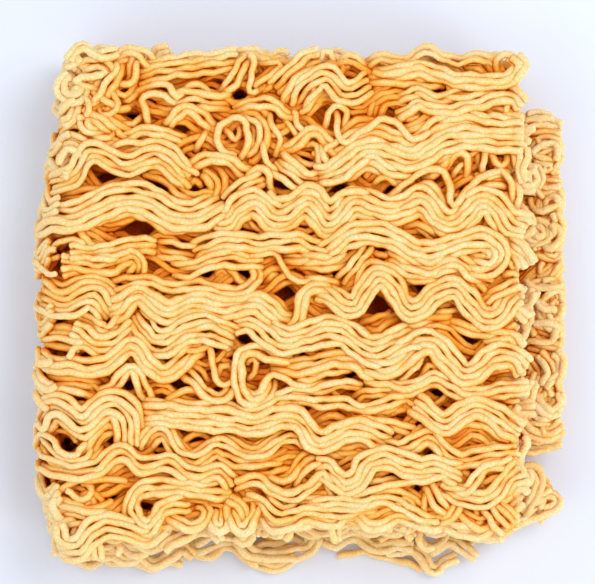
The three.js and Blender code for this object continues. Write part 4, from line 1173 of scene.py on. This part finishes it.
def skin_depth(places):
    """How deep places lie under the block's top or underside, or behind its sides. The light gets in
    between loose strands, so that they count as less deep."""
    x, y, z = places.T
    ledge_height = LEDGE_HEIGHT - CORNER_DROP * smoothstep(-y, *CORNER_DROP_AT)
    into_fold = np.clip((FOLD_MIDDLE - x + fold_run_in(y)) / FOLD_REACH, 0, 0.97)
    rounding = HALF_HEIGHT * (1 - (1 - into_fold**FOLD_SQUARENESS) ** (1 / FOLD_SQUARENESS))
    below_top = BLOCK_HEIGHT + past_upper_end(x) * (ledge_height - BLOCK_HEIGHT) - rounding - z
    left = FOLD_SKIN_LEFT + fold_run_in(y)
    right = np.where(z > LAYER_SPLIT, UPPER_END, lower_reach(y) + EDGE_ROUGHNESS)
    front = FRONT_EDGE + front_step(x, y)
    sides = np.minimum.reduce([right - x, x - left, y - front, BACK_EDGE + EDGE_ROUGHNESS - y])
    depth = np.minimum.reduce([below_top, z - rounding, sides])
    return depth * (1 - LOOSE_LIGHT * looseness(places))


def rings_of(strand, sides, draw):
    """Rings of vertices round a strand, in mm, with a short first and last segment where it is cut, and
    the depth that their painted shade goes by."""
    places, outward = strand.places, strand.outward
    lead = END_LENGTH / max(np.linalg.norm(places[1] - places[0]), END_LENGTH)
    head = places[0] + lead * (places[1] - places[0])
    tail = places[-1] + lead * (places[-2] - places[-1])
    places = np.vstack([places[:1], head, places[1:-1], tail, places[-1:]])
    outward = np.vstack([outward[:1], outward[:1], outward[1:-1], outward[-1:], outward[-1:]])
    ahead = unit(np.gradient(places, axis=0))
    aside = unit(np.cross(ahead, outward))
    up = np.cross(aside, ahead)
    along = length_along(places)
    twist = draw.uniform(0, np.pi) + drift(along, draw, *TWIST)
    angle = np.linspace(0, 2 * np.pi, sides, endpoint=False)[None, :]
    thick = 1 + drift(along, draw, THICKNESS_SWING, THICKNESS_REACH)
    oval = 1 + OVALNESS * np.cos(2 * (angle - twist[:, None]))
    radius = STRAND_RADIUS * draw.uniform(*THICKNESS_RANGE) * thick[:, None] * oval
    radius[[0, -1]] *= END_SHARE
    across = np.cos(angle)[:, :, None] * aside[:, None, :]
    upward = np.sin(angle)[:, :, None] * up[:, None, :]
    skin = places[:, None, :] + radius[:, :, None] * (across + upward)
    return skin, painted_shade_depth(places, skin, radius, angle)


def painted_shade_depth(places, skin, radius, angle):
    """The depth that the painted shade of the skin round a strand goes by: it grows fast from the side of the
    strand that can be seen to the side that faces in, so that each strand is painted pale on top and orange
    in shade."""
    middle_depth = skin_depth(places)[:, None]
    own_depth = skin_depth(skin.reshape(-1, 3)).reshape(radius.shape)
    facing_in = own_depth - middle_depth
    rise = (skin - places[:, None, :])[:, :, 2]
    loose = looseness(places)[:, None]
    towards_middle = np.where(places[:, 2:] > HALF_HEIGHT, -rise, rise)
    off_the_level = np.where(loose > 0.5, -np.abs(rise), towards_middle)
    facing_in = np.minimum.reduce([facing_in, -radius * np.sin(angle), off_the_level])
    shallowest = LOOSE_DEPTH * loose
    steepness = FLANK_SHADE_STEEPNESS * (1 + LOOSE_CONTRAST * loose)
    # painted shade: deeper under the skin, and further round to the side that faces in, gives a darker, more
    # orange colour
    depth = np.clip(middle_depth, 0, None) + shallowest + steepness * (facing_in + radius) - STRAND_RADIUS
    at_cut_end = CUT_END_DEPTH + CUT_END_STEEPNESS * np.clip(own_depth, 0, None)
    return np.maximum(np.minimum(depth, at_cut_end), shallowest)


def strand_mesh(name, strands, sides, draw):
    """One mesh of closed tubes, with a bake map that unrolls them and attributes for the material."""
    vertices, shade_depths, tones, quads, caps = [], [], [], [], []
    base = 0
    around = np.arange(sides)
    for strand in strands:
        rings, depth = rings_of(strand, sides, draw)
        count = len(rings)
        vertices.append(rings.reshape(-1, 3))
        shade_depths.append(depth.ravel())
        tones.append(np.full(count * sides, draw.uniform(0, 1)))
        ring = base + np.arange(count - 1)[:, None] * sides
        near, far = ring + around, ring + (around + 1) % sides
        quads.append(np.stack([near + sides, far + sides, far, near], axis=2).reshape(-1, 4))
        caps.append(base + around)
        caps.append(base + (count - 1) * sides + around[::-1])
        base += count * sides
    quads, caps = np.vstack(quads), np.array(caps)
    mesh = bpy.data.meshes.new(name)
    mesh.vertices.add(base)
    mesh.vertices.foreach_set("co", (np.vstack(vertices) * MM).ravel())
    corners = np.concatenate([quads.ravel(), caps.ravel()])
    mesh.loops.add(len(corners))
    mesh.loops.foreach_set("vertex_index", corners)
    mesh.polygons.add(len(quads) + len(caps))
    starts = np.concatenate([4 * np.arange(len(quads)), 4 * len(quads) + sides * np.arange(len(caps))])
    mesh.polygons.foreach_set("loop_start", starts)
    mesh.update(calc_edges=True)
    mesh.polygons.foreach_set("use_smooth", np.ones(len(quads) + len(caps), bool))
    unrolled = bake_map(len(quads), len(caps), sides)
    mesh.uv_layers.new(name="OFBake").data.foreach_set("uv", unrolled.ravel())
    # the depth attribute carries the painted shade, the tone attribute each strand's random tone
    for attribute, values in (("depth", shade_depths), ("tone", tones)):
        mesh.attributes.new(attribute, "FLOAT", "POINT").data.foreach_set("value", np.concatenate(values))
    mesh.validate()
    return mesh


def bake_map(quad_count, cap_count, sides):
    """Map corners for the tubes' faces, unrolled into rows, and below them one row of end caps."""
    segments = quad_count // sides
    per_row = int(math.ceil(math.sqrt(4.0 * segments)))
    row_count = int(math.ceil(segments / per_row)) + 1
    segment, side = np.divmod(np.arange(quad_count), sides)
    row, column = np.divmod(segment, per_row)
    gap, filled = 0.04, 0.92
    left = column / per_row
    bottom = (row + 1 + gap + filled * side / sides) / row_count
    width, height = 1 / per_row, filled / sides / row_count
    quads = np.stack([
        np.stack([left + width, bottom], axis=1),
        np.stack([left + width, bottom + height], axis=1),
        np.stack([left, bottom + height], axis=1),
        np.stack([left, bottom], axis=1),
    ], axis=1)
    turn = 2 * np.pi * np.arange(sides) / sides
    middle = (np.arange(cap_count)[:, None] + 0.5) / cap_count
    across = middle + 0.4 * np.cos(turn) / cap_count
    upward = 0.5 / row_count + np.sin(turn) * np.full_like(middle, 0.4) / row_count
    caps = np.stack([across, upward], axis=2)
    return np.concatenate([quads.reshape(-1, 2), caps.reshape(-1, 2)])


# --------------------------------------------------------------------------------------------------
# Material


def material_with(name, roughness, specular):
    """A new material, and a function that adds a node to it with its settings and sockets."""
    material = bpy.data.materials.new(name)
    material.use_nodes = True
    tree = material.node_tree
    shader = tree.nodes["Principled BSDF"]
    shader.inputs["Roughness"].default_value = roughness
    shader.inputs["Specular IOR Level"].default_value = specular

    def node(kind, settings=None, **sockets):
        made = tree.nodes.new(kind)
        for setting, value in (settings or {}).items():
            setattr(made, setting, value)
        for socket, value in sockets.items():
            socket = made.inputs[int(socket[1:]) if socket[1:].isdigit() else socket.replace("_", " ")]
            if isinstance(value, bpy.types.NodeSocket):
                tree.links.new(value, socket)
            else:
                socket.default_value = value
        return made

    return material, tree, shader, node


def colour_ramp(node, factor, stops):
    """A ramp node through (place, colour) stops."""
    ramp = node("ShaderNodeValToRGB", Fac=factor)
    elements = ramp.color_ramp.elements
    while len(elements) < len(stops):
        elements.new(0.5)
    for element, (place, colour) in zip(elements, stops):
        element.position = place
        element.color = (*colour, 1)
    return ramp.outputs["Color"]


def noodle_material():
    """Dry fried noodle: creamy yellow and mottled, with painted shade that turns it golden, orange and dark
    brown the deeper a place lies and on the flanks that face in, and with a finely pitted skin."""
    material, tree, shader, node = material_with("noodle", NOODLE_ROUGHNESS, NOODLE_SPECULAR)
    shader.inputs["Subsurface Weight"].default_value = GLOW
    shader.inputs["Subsurface Radius"].default_value = GLOW_REACH
    shader.inputs["Subsurface Scale"].default_value = MM
    where = node("ShaderNodeTexCoord").outputs["Object"]
    depth = node("ShaderNodeAttribute", {"attribute_name": "depth"}).outputs["Fac"]
    tone = node("ShaderNodeAttribute", {"attribute_name": "tone"}).outputs["Fac"]

    # painted shade: from cream at the skin to dark brown deep in, by the depth attribute
    shallowest, deepest = DEPTH_SHADE_COLOURS[0][0], DEPTH_SHADE_COLOURS[-1][0]
    share = node("ShaderNodeMapRange", Value=depth, From_Min=shallowest, From_Max=deepest)
    stops = [((place - shallowest) / (deepest - shallowest), shade) for place, shade in DEPTH_SHADE_COLOURS]
    painted_shade_by_depth = colour_ramp(node, share.outputs["Result"], stops)

    blotch = node("ShaderNodeTexNoise", Vector=where, Scale=BLOTCH_SCALE, Detail=3.0)
    blotch = node("ShaderNodeMapRange", Value=blotch.outputs["Fac"], From_Min=0.3, From_Max=0.7, To_Max=0.5)
    multiply_add = {"operation": "MULTIPLY_ADD"}
    fried = node("ShaderNodeMath", multiply_add, _0=tone, _1=0.5, _2=blotch.outputs["Result"])
    tint = colour_ramp(node, fried.outputs["Value"], ((0.0, GOLDEN_TINT), (1.0, PALE_TINT)))

    speckle = node("ShaderNodeTexNoise", Vector=where, Scale=SPECKLE_SCALE, Detail=2.0)
    speckle = colour_ramp(node, speckle.outputs["Fac"], SPECKLE_COLOURS)
    multiply = {"data_type": "RGBA", "blend_type": "MULTIPLY"}
    colour = node("ShaderNodeMix", multiply, _0=1.0, _6=painted_shade_by_depth, _7=tint).outputs[2]
    colour = node("ShaderNodeMix", multiply, _0=1.0, _6=colour, _7=speckle).outputs[2]
    tree.links.new(colour, shader.inputs["Base Color"])

    pits = node("ShaderNodeTexNoise", Vector=where, Scale=PIT_SCALE, Detail=3.0, Roughness=0.65)
    bump = node("ShaderNodeBump", Strength=0.9, Distance=PIT_DEPTH * MM, Height=pits.outputs["Fac"])
    tree.links.new(bump.outputs["Normal"], shader.inputs["Normal"])
    return material


def table_material():
    """Plain pale table, slightly uneven in tone, and a little darker towards the front with painted shadow.
    """
    material, tree, shader, node = material_with("table", TABLE_ROUGHNESS, TABLE_SPECULAR)
    where = node("ShaderNodeTexCoord").outputs["Object"]
    cloud = node("ShaderNodeTexNoise", Vector=where, Scale=TABLE_CLOUD_SCALE)
    colour = colour_ramp(node, cloud.outputs["Fac"], ((0.2, TABLE_COLOUR), (0.8, TABLE_PALER)))
    # painted shadow: darker in front of the block
    along_y = node("ShaderNodeSeparateXYZ", Vector=where).outputs["Y"]
    start, end = TABLE_SHADOW_SPAN
    share = node("ShaderNodeMapRange", Value=along_y, From_Min=start, From_Max=end).outputs["Result"]
    tone = colour_ramp(node, share, ((0.0, TABLE_FRONT_SHADOW), (1.0, (1.0, 1.0, 1.0))))
    multiply = {"data_type": "RGBA", "blend_type": "MULTIPLY"}
    colour = node("ShaderNodeMix", multiply, _0=1.0, _6=colour, _7=tone).outputs[2]
    tree.links.new(colour, shader.inputs["Base Color"])
    return material


# --------------------------------------------------------------------------------------------------
# Objects


def add_object(name, data):
    """A new object in the scene."""
    made = bpy.data.objects.new(name, data)
    bpy.context.scene.collection.objects.link(made)
    return made


def add_piece(name, mesh, material):
    """A piece of the noodle block, in place of the plain solid."""
    mesh.materials.append(material)
    piece = add_object(name, mesh)
    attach(piece, "root")
    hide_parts("noodle_block")
    return piece


def core_mesh():
    """The tangle in the middle, painted in the darkest shade colour, which shows only as a dark ground of
    painted shade in the holes.
    """
    body = bmesh.new()
    bmesh.ops.create_cube(body, size=2)
    bmesh.ops.subdivide_edges(body, edges=body.edges, cuts=CORE_CUTS, use_grid_fill=True)
    low, high = (np.array(corner) for corner in (CORE_LOW, CORE_HIGH))
    for vertex in body.verts:
        at = np.array(vertex.co)
        at[:2] *= 1 - 0.05 * (at[1::-1] ** 2)
        at[:2] *= 1 - 0.08 * at[2] ** 2
        place = (low + high) / 2 + at * (high - low) / 2
        bumpy = noise.noise(Vector(place * 0.35)) + 0.6 * noise.noise(Vector(place * 0.8))
        vertex.co = Vector(place + np.array(CORE_BUMPS) * at * bumpy) * MM
    mesh = bpy.data.meshes.new("noodle_core")
    body.to_mesh(mesh)
    body.free()
    mesh.polygons.foreach_set("use_smooth", np.ones(len(mesh.polygons), bool))
    # painted shade: the core takes the deepest, darkest colour of the ramp
    for attribute, value in (("depth", DEPTH_SHADE_COLOURS[-1][0]), ("tone", 0.3)):
        values = np.full(len(mesh.vertices), value)
        mesh.attributes.new(attribute, "FLOAT", "POINT").data.foreach_set("value", values)
    return mesh


def add_noodles():
    """Lay out all strands, let them push each other apart, and add the pieces they are joined into."""
    draw = np.random.default_rng(SEED)
    layers = (top_strands, low_strands, tangled_strands, underside_strands, fold_strands, inner_strands)
    strands = [strand for layer in layers for strand in layer(draw)]
    relax(strands, RELAX_ROUNDS)
    material = noodle_material()
    for name in sorted({strand.piece for strand in strands}):
        own = [strand for strand in strands if strand.piece == name]
        sides = 8 if name in FINE_PIECES else 6
        add_piece(name, strand_mesh(name, own, sides, draw), material)
    add_piece("noodle_core", core_mesh(), material)


def add_table():
    """The table under the block."""
    mesh = bpy.data.meshes.new("table")
    half = TABLE_HALF
    corners = [(-half, -half, 0), (half, -half, 0), (half, half, 0), (-half, half, 0)]
    mesh.from_pydata(corners, [], [(0, 1, 2, 3)])
    mesh.materials.append(table_material())
    add_object("table", mesh)


def aim(thing, place, target):
    """Put a lamp or a camera at a place, pointing at a target."""
    thing.location = place
    thing.rotation_euler = (Vector(target) - Vector(place)).to_track_quat("-Z", "Y").to_euler()


def add_light(name, place, size, power, colour):
    """A round lamp that points at the block."""
    data = bpy.data.lights.new(name, "AREA")
    data.shape = "DISK"
    data.size = size
    data.energy = power
    data.color = colour
    aim(add_object(name, data), place, (0, 0, 0))


def add_light_and_camera():
    """The sky, the lamps and the camera."""
    world = bpy.data.worlds.new("studio")
    world.use_nodes = True
    background = world.node_tree.nodes["Background"]
    background.inputs["Color"].default_value = (*SKY_COLOUR, 1)
    background.inputs["Strength"].default_value = SKY_STRENGTH
    scene = bpy.context.scene
    scene.world = world
    scene.view_settings.view_transform = "Standard"
    for light in LIGHTS:
        add_light(*light)
    camera = bpy.data.cameras.new("camera")
    camera.sensor_width = 36
    camera.lens = camera.sensor_width * CAMERA_DISTANCE / VIEW_WIDTH
    camera.clip_start = 0.05
    camera.clip_end = 20
    eye = add_object("camera", camera)
    target = Vector(CAMERA_TARGET) * MM
    back_off = Vector((0, -math.sin(CAMERA_TILT), math.cos(CAMERA_TILT))) * CAMERA_DISTANCE * MM
    aim(eye, target + back_off, target)
    scene.camera = eye


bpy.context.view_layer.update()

add_light_and_camera()
add_table()
add_noodles()
